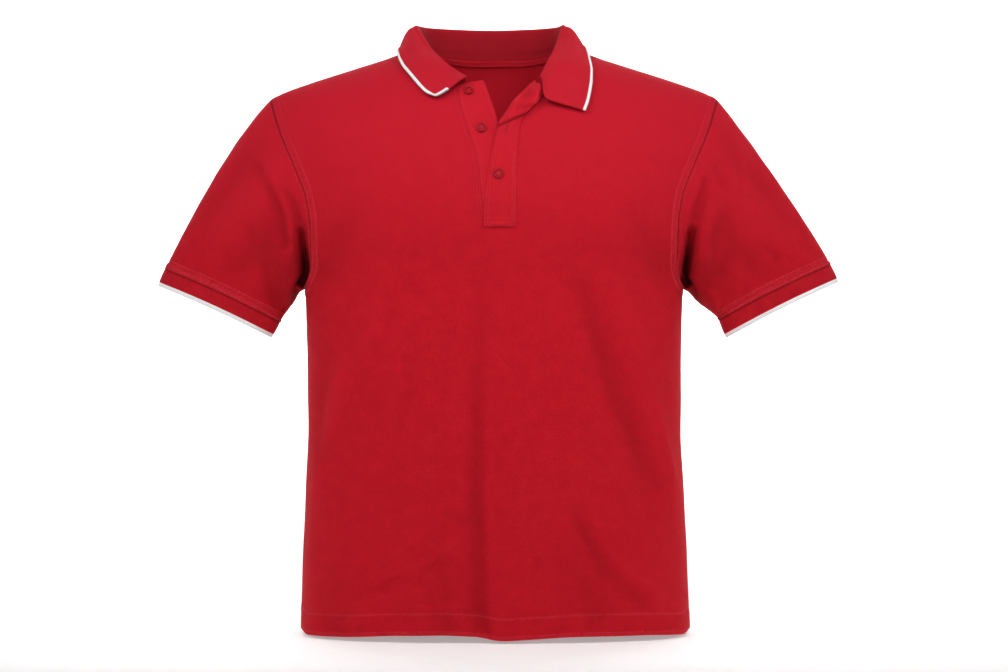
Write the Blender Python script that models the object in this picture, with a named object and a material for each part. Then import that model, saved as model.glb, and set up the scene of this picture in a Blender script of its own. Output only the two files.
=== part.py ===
"""Short-sleeved polo shirt: hollow worn shape cut from panels, sleeves, collar, placket and cuffs.

Metres, +Z up, front toward -Y. The origin lies between the two ends of the neck seam on the shoulders,
where the shirt hangs from its wearer. Left and right are the wearer's, so the wearer's left is +X.
"""
import math

import bmesh
import bpy
import numpy as np

# Cloth and joints
CLOTH = 0.0016
RIB = 0.0020
PLACKET_CLOTH = 0.0020
TAPE_CLOTH = 0.0008
HEM_CLOTH = 0.0026
SEAM_GAP = 0.0003
FOLD_RADIUS = 0.0029
TAPE_WIDE = 0.0085

# Section of the body: 2.5 gives full sides, 1.8 rolls over the shoulder
SIDE_POWER = 2.5
ROLL_POWER = 1.8
ROLL = {"front": 0.20, "back": 0.16}
ARMPIT = -0.286
SHOULDER_TIP = (0.2665, -0.0612)
NECK_SIDE = 0.088
CREST_Y = -0.012

# Height, depth to the front, depth to the back, half width on the right, on the left
BODY = (
    (-0.696, 0.114, 0.112, 0.2310, 0.2345),
    (-0.640, 0.114, 0.111, 0.2298, 0.2325),
    (-0.546, 0.112, 0.107, 0.2262, 0.2282),
    (-0.440, 0.110, 0.104, 0.2224, 0.2236),
    (-0.360, 0.113, 0.105, 0.2236, 0.2242),
    (-0.286, 0.117, 0.107, 0.2262, 0.2262),
    (-0.200, 0.118, 0.110, 0.2470, 0.2470),
    (-0.100, 0.114, 0.110, 0.2800, 0.2800),
    (0.000, 0.106, 0.106, 0.3030, 0.3030),
    (0.060, 0.104, 0.104, 0.3130, 0.3130),
)
# Distance from the middle, height of the crest of the shoulder
CREST_SIDE = (
    (0.0880, 0.0005),
    (0.1297, -0.0131),
    (0.1751, -0.0274),
    (0.2199, -0.0418),
    (0.2582, -0.0562),
    (0.2665, -0.0612),
    (0.3200, -0.0930),
)
CREST = {
    "front": ((0.000, 0.003), (0.060, 0.002)) + CREST_SIDE,
    "back": ((0.000, 0.038), (0.040, 0.034), (0.070, 0.017)) + CREST_SIDE,
}
# Height, distance of the armhole seam from the middle
ARMHOLE = (
    (-0.286, 0.2262),
    (-0.274, 0.2195),
    (-0.258, 0.2152),
    (-0.216, 0.2145),
    (-0.181, 0.2197),
    (-0.147, 0.2328),
    (-0.103, 0.2520),
    (-0.0612, 0.2665),
)
# Share of the way from the placket to the side of the neck, distance from the middle, height
NECK = {
    "front_right": (
        (0.0, 0.0410, -0.0485),
        (0.25, 0.0550, -0.0395),
        (0.50, 0.0675, -0.0280),
        (0.75, 0.0790, -0.0145),
        (1.0, 0.0880, 0.0005),
    ),
    "front_left": (
        (0.0, 0.0551, -0.0570),
        (0.25, 0.0660, -0.0480),
        (0.50, 0.0750, -0.0330),
        (0.75, 0.0830, -0.0165),
        (1.0, 0.0880, 0.0005),
    ),
    "back": (
        (0.0, 0.0000, -0.0060),
        (0.25, 0.0290, -0.0056),
        (0.50, 0.0560, -0.0040),
        (0.75, 0.0760, -0.0015),
        (1.0, 0.0880, 0.0005),
    ),
}
# Height, place of the edge beside the placket
SLIT_RIGHT = (
    (-0.217, -0.0112),
    (-0.205, -0.0118),
    (-0.172, -0.0143),
    (-0.145, -0.0172),
    (-0.126, -0.0218),
    (-0.100, -0.0306),
    (-0.067, -0.0398),
    (-0.0485, -0.0410),
)
SLIT_LEFT = (
    (-0.217, 0.0222),
    (-0.187, 0.0225),
    (-0.158, 0.0232),
    (-0.1285, 0.0250),
    (-0.099, 0.0278),
    (-0.087, 0.0325),
    (-0.076, 0.0405),
    (-0.066, 0.0490),
    (-0.057, 0.0551),
)
# Place across, height of the lower edge of the front
HEM_FRONT = (
    (-0.231, -0.6958),
    (-0.180, -0.6942),
    (-0.120, -0.6908),
    (-0.060, -0.6895),
    (-0.022, -0.6910),
    (0.010, -0.6952),
    (0.040, -0.6940),
    (0.100, -0.6912),
    (0.170, -0.6916),
    (0.2345, -0.6958),
)
HEM = -0.696
ROWS_LOW = (HEM, -0.672, -0.6705, -0.622, -0.572, -0.522, -0.472, -0.424, -0.378, -0.332, -0.286)
ROWS_HIGH = (0.075, 0.155, 0.240, 0.326, 0.425, 0.525, 0.625, 0.725, 0.820, 0.905, 0.965, 1.0)
SLIT_ROW = 4
NECK_COLUMNS = 5
SHOULDER_COLUMNS = 9
MIDDLE_COLUMNS = 3
EVEN_COLUMNS = 4

# Side, from x, z, to x, z, width, height (below zero for a trough), strength at the start, at the end
FOLDS = (
    ("front", -0.017, -0.235, -0.021, -0.700, 0.020, -0.0042, 0.15, 1.0),
    ("front", 0.014, -0.300, 0.018, -0.700, 0.024, 0.0022, 0.2, 1.0),
    ("front", -0.180, -0.370, -0.216, -0.520, 0.012, 0.0030, 0.4, 1.0),
    ("front", -0.200, -0.360, -0.205, -0.480, 0.012, -0.0040, 0.3, 1.0),
    ("front", 0.125, -0.330, 0.175, -0.530, 0.022, -0.0046, 0.5, 1.0),
    ("front", 0.178, -0.400, 0.216, -0.540, 0.014, 0.0034, 0.3, 1.0),
    ("front", -0.190, -0.600, -0.186, -0.700, 0.018, -0.0030, 0.2, 1.0),
    ("front", -0.118, -0.560, -0.112, -0.700, 0.020, -0.0032, 0.1, 1.0),
    ("front", -0.062, -0.560, -0.055, -0.700, 0.018, -0.0030, 0.1, 1.0),
    ("front", 0.085, -0.600, 0.120, -0.660, 0.018, -0.0026, 0.5, 1.0),
    ("front", 0.160, -0.200, 0.198, -0.262, 0.018, -0.0040, 0.2, 1.0),
    ("front", -0.165, -0.195, -0.198, -0.262, 0.018, -0.0040, 0.2, 1.0),
    ("back", 0.000, -0.250, 0.008, -0.700, 0.030, -0.0050, 0.1, 1.0),
    ("back", 0.095, -0.330, 0.120, -0.700, 0.028, -0.0048, 0.2, 1.0),
    ("back", -0.090, -0.300, -0.128, -0.700, 0.026, -0.0050, 0.2, 1.0),
    ("back", 0.175, -0.260, 0.200, -0.480, 0.020, -0.0046, 0.6, 1.0),
    ("back", -0.180, -0.250, -0.196, -0.500, 0.020, -0.0044, 0.6, 1.0),
    ("back", 0.120, -0.150, 0.195, -0.235, 0.022, -0.0044, 0.3, 1.0),
    ("back", -0.120, -0.160, -0.195, -0.240, 0.022, -0.0042, 0.3, 1.0),
)

# Side, seam outer x, z, seam inner x, z, end outer x, z, end inner x, z
SLEEVE_ENDS = {
    "left": ((0.4026, -0.2575), (0.2692, -0.3232), (0.4134, -0.2777), (0.2772, -0.3453)),
    "right": ((-0.3936, -0.2626), (-0.2562, -0.3262), (-0.4032, -0.2825), (-0.2658, -0.3452)),
}
SLEEVE_Y = -0.006
CUFF_DEPTH = 0.036
# Share of the way round from the armpit to the shoulder, pull outward, forward, down
SLEEVE_START = (
    (0.00, 0.030, 0.000, 0.045),
    (0.15, 0.045, 0.020, 0.060),
    (0.35, 0.070, 0.040, 0.080),
    (0.60, 0.105, 0.035, 0.110),
    (0.80, 0.135, 0.010, 0.135),
    (1.00, 0.150, 0.000, 0.150),
)
SLEEVE_REACH = {"left": 0.84, "right": 0.99}
SLEEVE_FINISH = {"left": 0.09, "right": 0.16}
CUFF_RISE = 0.0030
SLEEVE_RINGS = (0.0, 0.035, 0.10, 0.20, 0.32, 0.45, 0.58, 0.71, 0.84, 0.945, 0.965, 1.0)
SEAM_ROLL = 0.0009
# Share round from the armpit over the front, middle of the fold along the arm, width, length, height
SLEEVE_FOLDS = (
    (0.055, 0.18, 0.045, 0.20, -0.0095),
    (0.945, 0.18, 0.045, 0.20, -0.0045),
    (0.12, 0.30, 0.050, 0.30, -0.0060),
    (0.25, 0.50, 0.035, 0.34, -0.0036),
    (0.345, 0.42, 0.030, 0.30, 0.0030),
    (0.42, 0.35, 0.030, 0.26, -0.0020),
    (0.88, 0.32, 0.050, 0.30, -0.0060),
    (0.74, 0.50, 0.040, 0.36, -0.0038),
    (0.65, 0.45, 0.030, 0.30, 0.0026),
)

# Share along the neck seam, fold x, y, z, free edge x, y, z
COLLAR = (
    (0.000, -0.0318, -0.0880, -0.0400, -0.0694, -0.0960, -0.0640),
    (0.050, -0.0440, -0.0780, -0.0320, -0.0790, -0.0915, -0.0595),
    (0.100, -0.0563, -0.0710, -0.0225, -0.0920, -0.0790, -0.0455),
    (0.145, -0.0665, -0.0600, -0.0120, -0.1018, -0.0675, -0.0335),
    (0.180, -0.0750, -0.0460, -0.0022, -0.1081, -0.0570, -0.0252),
    (0.210, -0.0850, -0.0300, 0.0137, -0.1121, -0.0435, -0.0165),
    (0.245, -0.0935, -0.0100, 0.0286, -0.1151, -0.0130, -0.0038),
    (0.330, -0.0860, 0.0260, 0.0310, -0.1100, 0.0330, -0.0130),
    (0.420, -0.0570, 0.0530, 0.0316, -0.0660, 0.0640, -0.0170),
    (0.500, -0.0030, 0.0640, 0.0312, -0.0030, 0.0740, -0.0180),
    (0.580, 0.0510, 0.0530, 0.0316, 0.0620, 0.0640, -0.0170),
    (0.670, 0.0780, 0.0240, 0.0310, 0.1040, 0.0330, -0.0120),
    (0.765, 0.0830, -0.0110, 0.0292, 0.1088, -0.0150, -0.0005),
    (0.820, 0.0772, -0.0340, 0.0095, 0.1138, -0.0430, -0.0140),
    (0.860, 0.0712, -0.0530, -0.0060, 0.1166, -0.0615, -0.0305),
    (0.900, 0.0648, -0.0660, -0.0180, 0.1162, -0.0730, -0.0432),
    (0.940, 0.0592, -0.0760, -0.0300, 0.1141, -0.0830, -0.0559),
    (0.975, 0.0560, -0.0815, -0.0365, 0.1115, -0.0910, -0.0683),
    (1.000, 0.0540, -0.0860, -0.0405, 0.1072, -0.0990, -0.0806),
)
# Share along the neck seam, then shift x, y, z of the leaf at one third and at two thirds
LEAF_ROLL = (
    (0.00, 0.0022, -0.0030, 0.0010, 0.0010, -0.0040, -0.0020),
    (0.10, 0.0000, -0.0030, 0.0020, 0.0000, -0.0020, 0.0010),
    (0.25, -0.0030, -0.0010, 0.0040, -0.0020, 0.0000, 0.0020),
    (0.36, -0.0030, 0.0020, 0.0020, -0.0020, 0.0020, 0.0010),
    (0.50, 0.0000, 0.0030, 0.0010, 0.0000, 0.0020, 0.0000),
    (0.64, 0.0030, 0.0020, 0.0020, 0.0020, 0.0020, 0.0010),
    (0.76, 0.0030, -0.0010, 0.0040, 0.0020, 0.0000, 0.0020),
    (0.86, 0.0000, -0.0040, 0.0020, 0.0000, -0.0030, 0.0010),
    (0.95, -0.0090, -0.0090, -0.0040, -0.0060, -0.0060, -0.0040),
    (1.00, -0.0150, -0.0120, -0.0100, -0.0120, -0.0070, -0.0090),
)
NECK_MIDDLE = (-0.003, -0.005)
LEAF_CLEAR = 0.0048
STAND_CLEAR = 0.0030
SHOULDER_RISE = 0.0030

# Row of the front, free edge x, z, lift, middle x, z, lift, stitched edge x, z, lift
PLACKET_ROLL = (
    (3.94, -0.0112, -0.2165, 0.0027, 0.0070, -0.2165, 0.0027, 0.0252, -0.2165, 0.0027),
    (5.0, -0.0094, -0.1890, 0.0027, 0.0085, -0.1890, 0.0028, 0.0255, -0.1890, 0.0027),
    (6.0, -0.0074, -0.1650, 0.0028, 0.0100, -0.1650, 0.0029, 0.0260, -0.1655, 0.0027),
    (7.0, -0.0035, -0.1420, 0.0032, 0.0125, -0.1425, 0.0032, 0.0268, -0.1430, 0.0027),
    (8.0, 0.0012, -0.1180, 0.0045, 0.0150, -0.1190, 0.0040, 0.0288, -0.1200, 0.0027),
    (9.0, 0.0060, -0.0985, 0.0068, 0.0185, -0.0985, 0.0078, 0.0315, -0.0985, 0.0028),
    (9.5, 0.0137, -0.0882, 0.0085, 0.0260, -0.0880, 0.0105, 0.0360, -0.0885, 0.0028),
    (10.0, 0.0225, -0.0750, 0.0095, 0.0345, -0.0805, 0.0115, 0.0430, -0.0800, 0.0030),
    (10.5, 0.0330, -0.0640, 0.0088, 0.0425, -0.0745, 0.0110, 0.0505, -0.0720, 0.0030),
    (11.0, 0.0415, -0.0550, 0.0075, 0.0490, -0.0660, 0.0092, 0.0555, -0.0660, 0.0030),
    (11.5, 0.0480, -0.0475, 0.0048, 0.0530, -0.0560, 0.0062, 0.0580, -0.0615, 0.0030),
)
# Height, free edge of the under placket
UNDER_EDGE = (
    (-0.217, 0.0215),
    (-0.205, 0.0214),
    (-0.163, 0.0189),
    (-0.128, 0.0132),
    (-0.097, 0.0057),
    (-0.080, 0.0013),
    (-0.065, -0.0041),
    (-0.050, -0.0095),
    (-0.043, -0.0122),
)

# Buttons: name, x, z, lift of the underside
BUTTONS = (
    ("button_1", -0.0290, -0.0573, 0.0003),
    ("button_2", -0.0142, -0.1020, 0.0003),
    ("button_3", 0.0058, -0.1568, 0.0032),
)
BUTTON_RADIUS = 0.0062
# Share of the radius, height: from the middle of the underside round to the middle of the top
BUTTON_PROFILE = (
    (0.80, 0.0000),
    (0.97, 0.0007),
    (1.00, 0.0015),
    (0.93, 0.0023),
    (0.80, 0.0025),
    (0.62, 0.0017),
)
BUTTON_SIDES = 20
HOLE_RADIUS = 0.00075
HOLE_OUT = 0.0014
HOLE_SIDES = 8

# Name, red, green, blue, roughness
MATERIALS = {
    "pique": (0.42, 0.012, 0.022, 0.85),
    "rib": (0.46, 0.014, 0.030, 0.85),
    "placket": (0.43, 0.013, 0.025, 0.85),
    "tape": (0.36, 0.010, 0.018, 0.85),
    "button": (0.50, 0.030, 0.050, 0.35),
}


def curve(table, column, at):
    """Smooth reading of one column of a table, without overshoot between its rows."""
    data = np.array(table, float)
    xs = data[:, 0]
    ys = data[:, column]
    at = np.clip(at, xs[0], xs[-1])
    rise = np.diff(ys) / np.diff(xs)
    slope = np.concatenate(([rise[0]], np.zeros(len(xs) - 2), [rise[-1]]))
    for k in range(1, len(xs) - 1):
        if rise[k - 1] * rise[k] > 0:
            slope[k] = 2 * rise[k - 1] * rise[k] / (rise[k - 1] + rise[k])
    k = np.clip(np.searchsorted(xs, at, side="right") - 1, 0, len(xs) - 2)
    step = xs[k + 1] - xs[k]
    s = (at - xs[k]) / step
    start = (2 * s**3 - 3 * s**2 + 1) * ys[k] + (s**3 - 2 * s**2 + s) * step * slope[k]
    end = (3 * s**2 - 2 * s**3) * ys[k + 1] + (s**3 - s**2) * step * slope[k + 1]
    return start + end


def unit(v):
    return v / np.maximum(np.linalg.norm(v, axis=-1, keepdims=True), 1e-12)


def middle_y(z):
    return CREST_Y * np.clip((z - ARMPIT) / 0.226, 0.0, 1.0)


def side_width(x, z):
    """Half width of the body at height z, on the side where x lies."""
    return np.where(np.asarray(x) < 0, curve(BODY, 3, z), curve(BODY, 4, z))


def solid_value(p, side):
    """Below zero inside the body, zero on the outer face of the cloth, above zero outside."""
    x, y, z = p[..., 0], p[..., 1], p[..., 2]
    depth = curve(BODY, 1 if side == "front" else 2, z)
    out = np.abs(x) / side_width(x, z)
    flat = np.maximum(0.0, 1 - out**SIDE_POWER) ** (ROLL_POWER / SIDE_POWER)
    s = np.minimum(1.0, (curve(CREST[side], 1, np.abs(x)) - z) / ROLL[side])
    return (np.abs(y - middle_y(z)) / depth) ** ROLL_POWER - flat * (1 - (1 - s) ** ROLL_POWER)


def gradient(p, side):
    step = 0.0004
    parts = []
    for axis in range(3):
        move = np.zeros(3)
        move[axis] = step
        parts.append((solid_value(p + move, side) - solid_value(p - move, side)) / (2 * step))
    return np.stack(parts, axis=-1)


def fold_height(x, z, side):
    """Height of the soft folds, which die out at the side seams and the shoulder seams."""
    total = np.zeros(np.shape(x))
    for place, x0, z0, x1, z1, width, height, start, end in FOLDS:
        if place != side:
            continue
        long = (x1 - x0) ** 2 + (z1 - z0) ** 2
        t = np.clip(((x - x0) * (x1 - x0) + (z - z0) * (z1 - z0)) / long, 0, 1)
        away = (x - x0 - t * (x1 - x0)) ** 2 + (z - z0 - t * (z1 - z0)) ** 2
        total = total + height * (start + (end - start) * t) * np.exp(-away / width**2)
    side_fade = 1 - (np.abs(x) / side_width(x, z)) ** 10
    drop = np.clip((curve(CREST[side], 1, np.abs(x)) - z) / 0.05, 0, 1)
    return total * np.clip(side_fade, 0, 1) * drop


def body_points(x, z, side, lift=0.0):
    """Points on the body cloth at x, z and the way out of the cloth there."""
    x, z = np.broadcast_arrays(np.asarray(x, float), np.asarray(z, float))
    out = np.minimum(1.0, np.abs(x) / side_width(x, z))
    flat = (1 - out**SIDE_POWER) ** (1 / SIDE_POWER)
    s = np.clip((curve(CREST[side], 1, np.abs(x)) - z) / ROLL[side], 0, 1)
    roll = (1 - (1 - s) ** ROLL_POWER) ** (1 / ROLL_POWER)
    depth = curve(BODY, 1 if side == "front" else 2, z)
    sign = -1.0 if side == "front" else 1.0
    p = np.stack((x, middle_y(z) + sign * depth * flat * roll, z), axis=-1)
    n = unit(gradient(p, side))
    height = fold_height(x, z, side) + lift
    p = p + n * height[..., None]
    return p, n


def push_out(p, clear):
    """Move points that lie nearer to the body than the clearance."""
    p = p.copy()
    for _ in range(3):
        for side, sign in (("front", -1.0), ("back", 1.0)):
            mine = (p[..., 1] - middle_y(p[..., 2])) * sign >= 0
            g = gradient(p, side)
            size = np.linalg.norm(g, axis=-1)
            away = solid_value(p, side) / size
            need = np.where(mine & (away < clear), clear - away, 0.0)
            p += unit(g) * need[..., None]
    return p


def grid_normals(points, closed):
    """Way out of a grid of points, rows by columns."""
    if closed:
        wide = np.concatenate((points[:, -1:], points, points[:, :1]), axis=1)
        across = wide[:, 2:] - wide[:, :-2]
    else:
        across = np.gradient(points, axis=1)
    along = np.gradient(points, axis=0)
    return unit(np.cross(along, across))


def wall(name, outer, inner, material, closed=False, keep=None):
    """Closed cloth wall between two grids of points; cells left out of keep are openings."""
    rows, cols = outer.shape[:2]
    cells = cols if closed else cols - 1
    if keep is None:
        keep = np.ones((rows - 1, cells), bool)
    used = {}
    verts = []

    def vert(layer, r, c):
        key = (layer, r, c % cols)
        if key not in used:
            used[key] = len(verts)
            verts.append(tuple((outer if layer == 0 else inner)[r, c % cols]))
        return used[key]

    faces = []
    for r in range(rows - 1):
        for c in range(cells):
            if not keep[r, c]:
                continue
            ring = ((r, c), (r, c + 1), (r + 1, c + 1), (r + 1, c))
            a, b, d, e = [vert(0, *q) for q in ring]
            faces += [(a, b, d), (a, d, e)]
            a, b, d, e = [vert(1, *q) for q in ring]
            faces += [(a, d, b), (a, e, d)]
            sides = (
                (r - 1, c, ring[0], ring[1]),
                (r + 1, c, ring[2], ring[3]),
                (r, c - 1, ring[3], ring[0]),
                (r, c + 1, ring[1], ring[2]),
            )
            for row, col, p, q in sides:
                if closed:
                    col %= cells
                if 0 <= row < rows - 1 and 0 <= col < cells and keep[row, col]:
                    continue
                a, b = vert(0, *p), vert(0, *q)
                d, e = vert(1, *q), vert(1, *p)
                faces += [(b, a, e), (b, e, d)]
    return mesh_object(name, verts, faces, material)


def mesh_object(name, verts, faces, material):
    mesh = bpy.data.meshes.new(name)
    mesh.from_pydata(verts, [], faces)
    bm = bmesh.new()
    bm.from_mesh(mesh)
    bmesh.ops.recalc_face_normals(bm, faces=bm.faces)
    if bm.calc_volume(signed=True) < 0:
        bmesh.ops.reverse_faces(bm, faces=bm.faces)
    for face in bm.faces:
        face.smooth = True
    bm.to_mesh(mesh)
    bm.free()
    obj = bpy.data.objects.new(name, mesh)
    shirt.objects.link(obj)
    obj.data.materials.append(make_material(name, *MATERIALS[material]))
    return obj


def make_material(name, red, green, blue, rough):
    material = bpy.data.materials.new(name)
    material.use_nodes = True
    shader = material.node_tree.nodes["Principled BSDF"]
    shader.inputs["Base Color"].default_value = (red, green, blue, 1.0)
    shader.inputs["Roughness"].default_value = rough
    material.diffuse_color = (red, green, blue, 1.0)
    return material


def top_line(part, sign):
    """Neckline then shoulder seam from the middle out, as x and height."""
    share = np.linspace(0, 1, NECK_COLUMNS + 1)
    neck_x = sign * curve(NECK[part], 1, share)
    neck_z = curve(NECK[part], 2, share)
    s = np.linspace(0, 1, SHOULDER_COLUMNS + 1)[1:]
    s = s + 0.06 * np.sin(math.pi * s)
    x = NECK_SIDE + (SHOULDER_TIP[0] - NECK_SIDE) * s
    z = curve(CREST_SIDE, 1, x)
    return np.concatenate((neck_x, sign * x)), np.concatenate((neck_z, z))


def half_panel(part, sign, slit):
    """Grid of x and z of half a panel, from the middle or the slit out to the side and the armhole."""
    columns = NECK_COLUMNS + SHOULDER_COLUMNS
    top_x, top_z = top_line(part, sign)
    angle = np.linspace(0, math.pi / 2, columns + 1)
    spread = np.sin(angle) ** (2 / SIDE_POWER)
    spread[:EVEN_COLUMNS] = spread[EVEN_COLUMNS] * np.arange(EVEN_COLUMNS) / EVEN_COLUMNS
    xs, zs = [], []
    for z in ROWS_LOW:
        start = slit(z)
        end = sign * side_width(sign, z)
        xs.append(start + spread * (end - start))
        zs.append(np.full(columns + 1, z))
    end_top = top_x[-1]
    start_top = top_x[0]
    share_top = (top_x - start_top) / (end_top - start_top)
    for w in ROWS_HIGH:
        z = ARMPIT + (top_z - ARMPIT) * w
        start = slit(z[0]) if w < 1 else start_top
        end = sign * curve(ARMHOLE, 1, z[-1])
        mix = w**4
        share = (1 - mix) * spread + mix * share_top
        xs.append(start + share * (end - start))
        zs.append(z)
    return np.array(xs), np.array(zs)


def seam_apart(p, side, z):
    """Keep the halves of a seam apart where a panel meets the plane between front and back."""
    half = SEAM_GAP / 2
    if side == "front":
        p[..., 1] = np.minimum(p[..., 1], middle_y(z) - half)
    else:
        p[..., 1] = np.maximum(p[..., 1], middle_y(z) + half)
    return p


def panel_layers(xs, zs, side):
    outer, normal = body_points(xs, zs, side)
    outer = seam_apart(outer, side, zs)
    thick = np.full(xs.shape, CLOTH)
    thick[:2] = HEM_CLOTH
    inner = outer - normal * thick[..., None]
    inner = seam_apart(inner, side, zs)
    return outer, inner, normal


def armhole_rim(outer, inner, normal, column, sign):
    """Turn the inner edge up at the armpit so that body and sleeve meet face to face."""
    low = len(ROWS_LOW) - 1
    for k in range(len(ROWS_HIGH) + 1):
        w = 0.0 if k == 0 else ROWS_HIGH[k - 1]
        q = max(0.0, 1 - w / 0.30)
        q = q * q * (3 - 2 * q)
        way = (1 - q) * -normal[low + k, column] + q * np.array((-0.5 * sign, 0.0, 0.87))
        y = inner[low + k, column, 1]
        inner[low + k, column] = outer[low + k, column] + unit(way) * CLOTH
        if k in (0, len(ROWS_HIGH)):
            inner[low + k, column, 1] = y


def neck_rim_turn(outer, inner, columns, amounts):
    """Carry the inner edge of the neckline on toward the neck, where the collar turns up."""
    for c, amount in zip(columns, amounts):
        way = unit(outer[-1, c] - outer[-2, c])
        inner[-1, c] += way * CLOTH * amount


def neck_side_turn(inner, columns):
    for c, sign in zip(columns, (-1, 1)):
        inner[-1, c, 0] -= sign * CLOTH


def make_front():
    right_x, right_z = half_panel("front_right", -1, lambda z: curve(SLIT_RIGHT, 1, z))
    left_x, left_z = half_panel("front_left", 1, lambda z: curve(SLIT_LEFT, 1, z))
    t = np.linspace(0, 1, MIDDLE_COLUMNS + 1)[1:-1]
    mid_x = right_x[:, :1] * (1 - t) + left_x[:, :1] * t
    mid_z = right_z[:, :1] * (1 - t) + left_z[:, :1] * t
    xs = np.concatenate((right_x[:, ::-1], mid_x, left_x), axis=1)
    zs = np.concatenate((right_z[:, ::-1], mid_z, left_z), axis=1)
    for r in range(6):
        fade = 1 - max(0, r - 2) / 4
        zs[r] += (curve(HEM_FRONT, 1, xs[r]) - HEM) * fade
    outer, inner, normal = panel_layers(xs, zs, "front")
    armhole_rim(outer, inner, normal, 0, -1)
    armhole_rim(outer, inner, normal, xs.shape[1] - 1, 1)
    half = NECK_COLUMNS + SHOULDER_COLUMNS
    turn = (1.2, 1.0, 0.85, 0.7, 0.7)
    neck_rim_turn(outer, inner, range(half, SHOULDER_COLUMNS, -1), turn)
    neck_rim_turn(outer, inner, range(half + MIDDLE_COLUMNS, half + MIDDLE_COLUMNS + NECK_COLUMNS), turn)
    neck_side_turn(inner, (SHOULDER_COLUMNS, half + MIDDLE_COLUMNS + NECK_COLUMNS))
    keep = np.ones((xs.shape[0] - 1, xs.shape[1] - 1), bool)
    keep[len(ROWS_LOW) - 1 + SLIT_ROW:, half:half + MIDDLE_COLUMNS] = False
    wall("front", outer, inner, "pique", keep=keep)
    return outer, inner


def make_back():
    right_x, right_z = half_panel("back", -1, lambda z: np.zeros(np.shape(z)))
    left_x, left_z = half_panel("back", 1, lambda z: np.zeros(np.shape(z)))
    xs = np.concatenate((right_x[:, :0:-1], left_x), axis=1)
    zs = np.concatenate((right_z[:, :0:-1], left_z), axis=1)
    outer, inner, normal = panel_layers(xs, zs, "back")
    armhole_rim(outer, inner, normal, 0, -1)
    armhole_rim(outer, inner, normal, xs.shape[1] - 1, 1)
    turn = (0.9, 0.6, 0.4, 0.4, 0.4, 0.4, 0.4, 0.6, 0.9)
    first = SHOULDER_COLUMNS + 1
    neck_rim_turn(outer, inner, range(first, first + len(turn)), turn)
    neck_side_turn(inner, (SHOULDER_COLUMNS, SHOULDER_COLUMNS + 2 * NECK_COLUMNS))
    wall("back", outer, inner, "pique")
    return outer, inner, normal


def gap_way(line_outer, line_inner, beyond):
    """Way across a seam: square to the seam and to the edge of the cloth, away from the panel."""
    along = np.gradient(line_outer, axis=0)
    way = unit(np.cross(along, line_inner - line_outer))
    turn = np.sign(np.sum(way * beyond, axis=-1, keepdims=True))
    return way * turn


def armhole_loop(front, back, sign):
    """Edge of the armhole from the armpit up the front, over the shoulder and down the back."""
    low = len(ROWS_LOW) - 1
    column = -1 if sign > 0 else 0
    inside = -2 if sign > 0 else 1
    lines = []
    for layer in (0, 1):
        f = front[layer][low:, column]
        b = back[layer][low:, column]
        loop = np.concatenate((f, b[-2:0:-1]))
        loop[0] = (f[0] + b[0]) / 2
        loop[len(f) - 1] = (f[-1] + b[-1]) / 2
        lines.append(loop)
    f = front[0][low:, column] - front[0][low:, inside]
    b = back[0][low:, column] - back[0][low:, inside]
    beyond = np.concatenate((f, b[-2:0:-1]))
    beyond[0] = (sign * 0.8, 0, 0.6)
    beyond[len(f) - 1] = (sign, 0, 0)
    wrap = [np.concatenate((line[-1:], line, line[:1])) for line in lines]
    way = unit(np.cross(wrap[0][2:] - wrap[0][:-2], lines[1] - lines[0]))
    way = way * np.sign(np.sum(way * beyond, axis=-1, keepdims=True))
    return lines[0] + way * SEAM_GAP, lines[1] + way * SEAM_GAP


def ring_ends(side):
    """Middle, long half axis of the cuff seam and of the cuff end."""
    rings = []
    ends = SLEEVE_ENDS[side]
    for outer, inner in ((ends[0], ends[1]), (ends[2], ends[3])):
        outer = np.array((outer[0], SLEEVE_Y, outer[1]))
        inner = np.array((inner[0], SLEEVE_Y, inner[1]))
        rings.append(((outer + inner) / 2, (outer - inner) / 2))
    return rings


def round_shares(loop, top):
    """Share of the way round from the armpit (0) over the front to the top (0.5) and back (1)."""
    length = np.linalg.norm(np.diff(np.concatenate((loop, loop[:1])), axis=0), axis=1)
    far = np.concatenate(([0], np.cumsum(length)))
    front = 0.5 * far[: top + 1] / far[top]
    back = 0.5 + 0.5 * (far[top + 1: -1] - far[top]) / (far[-1] - far[top])
    return np.concatenate((front, back))


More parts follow.
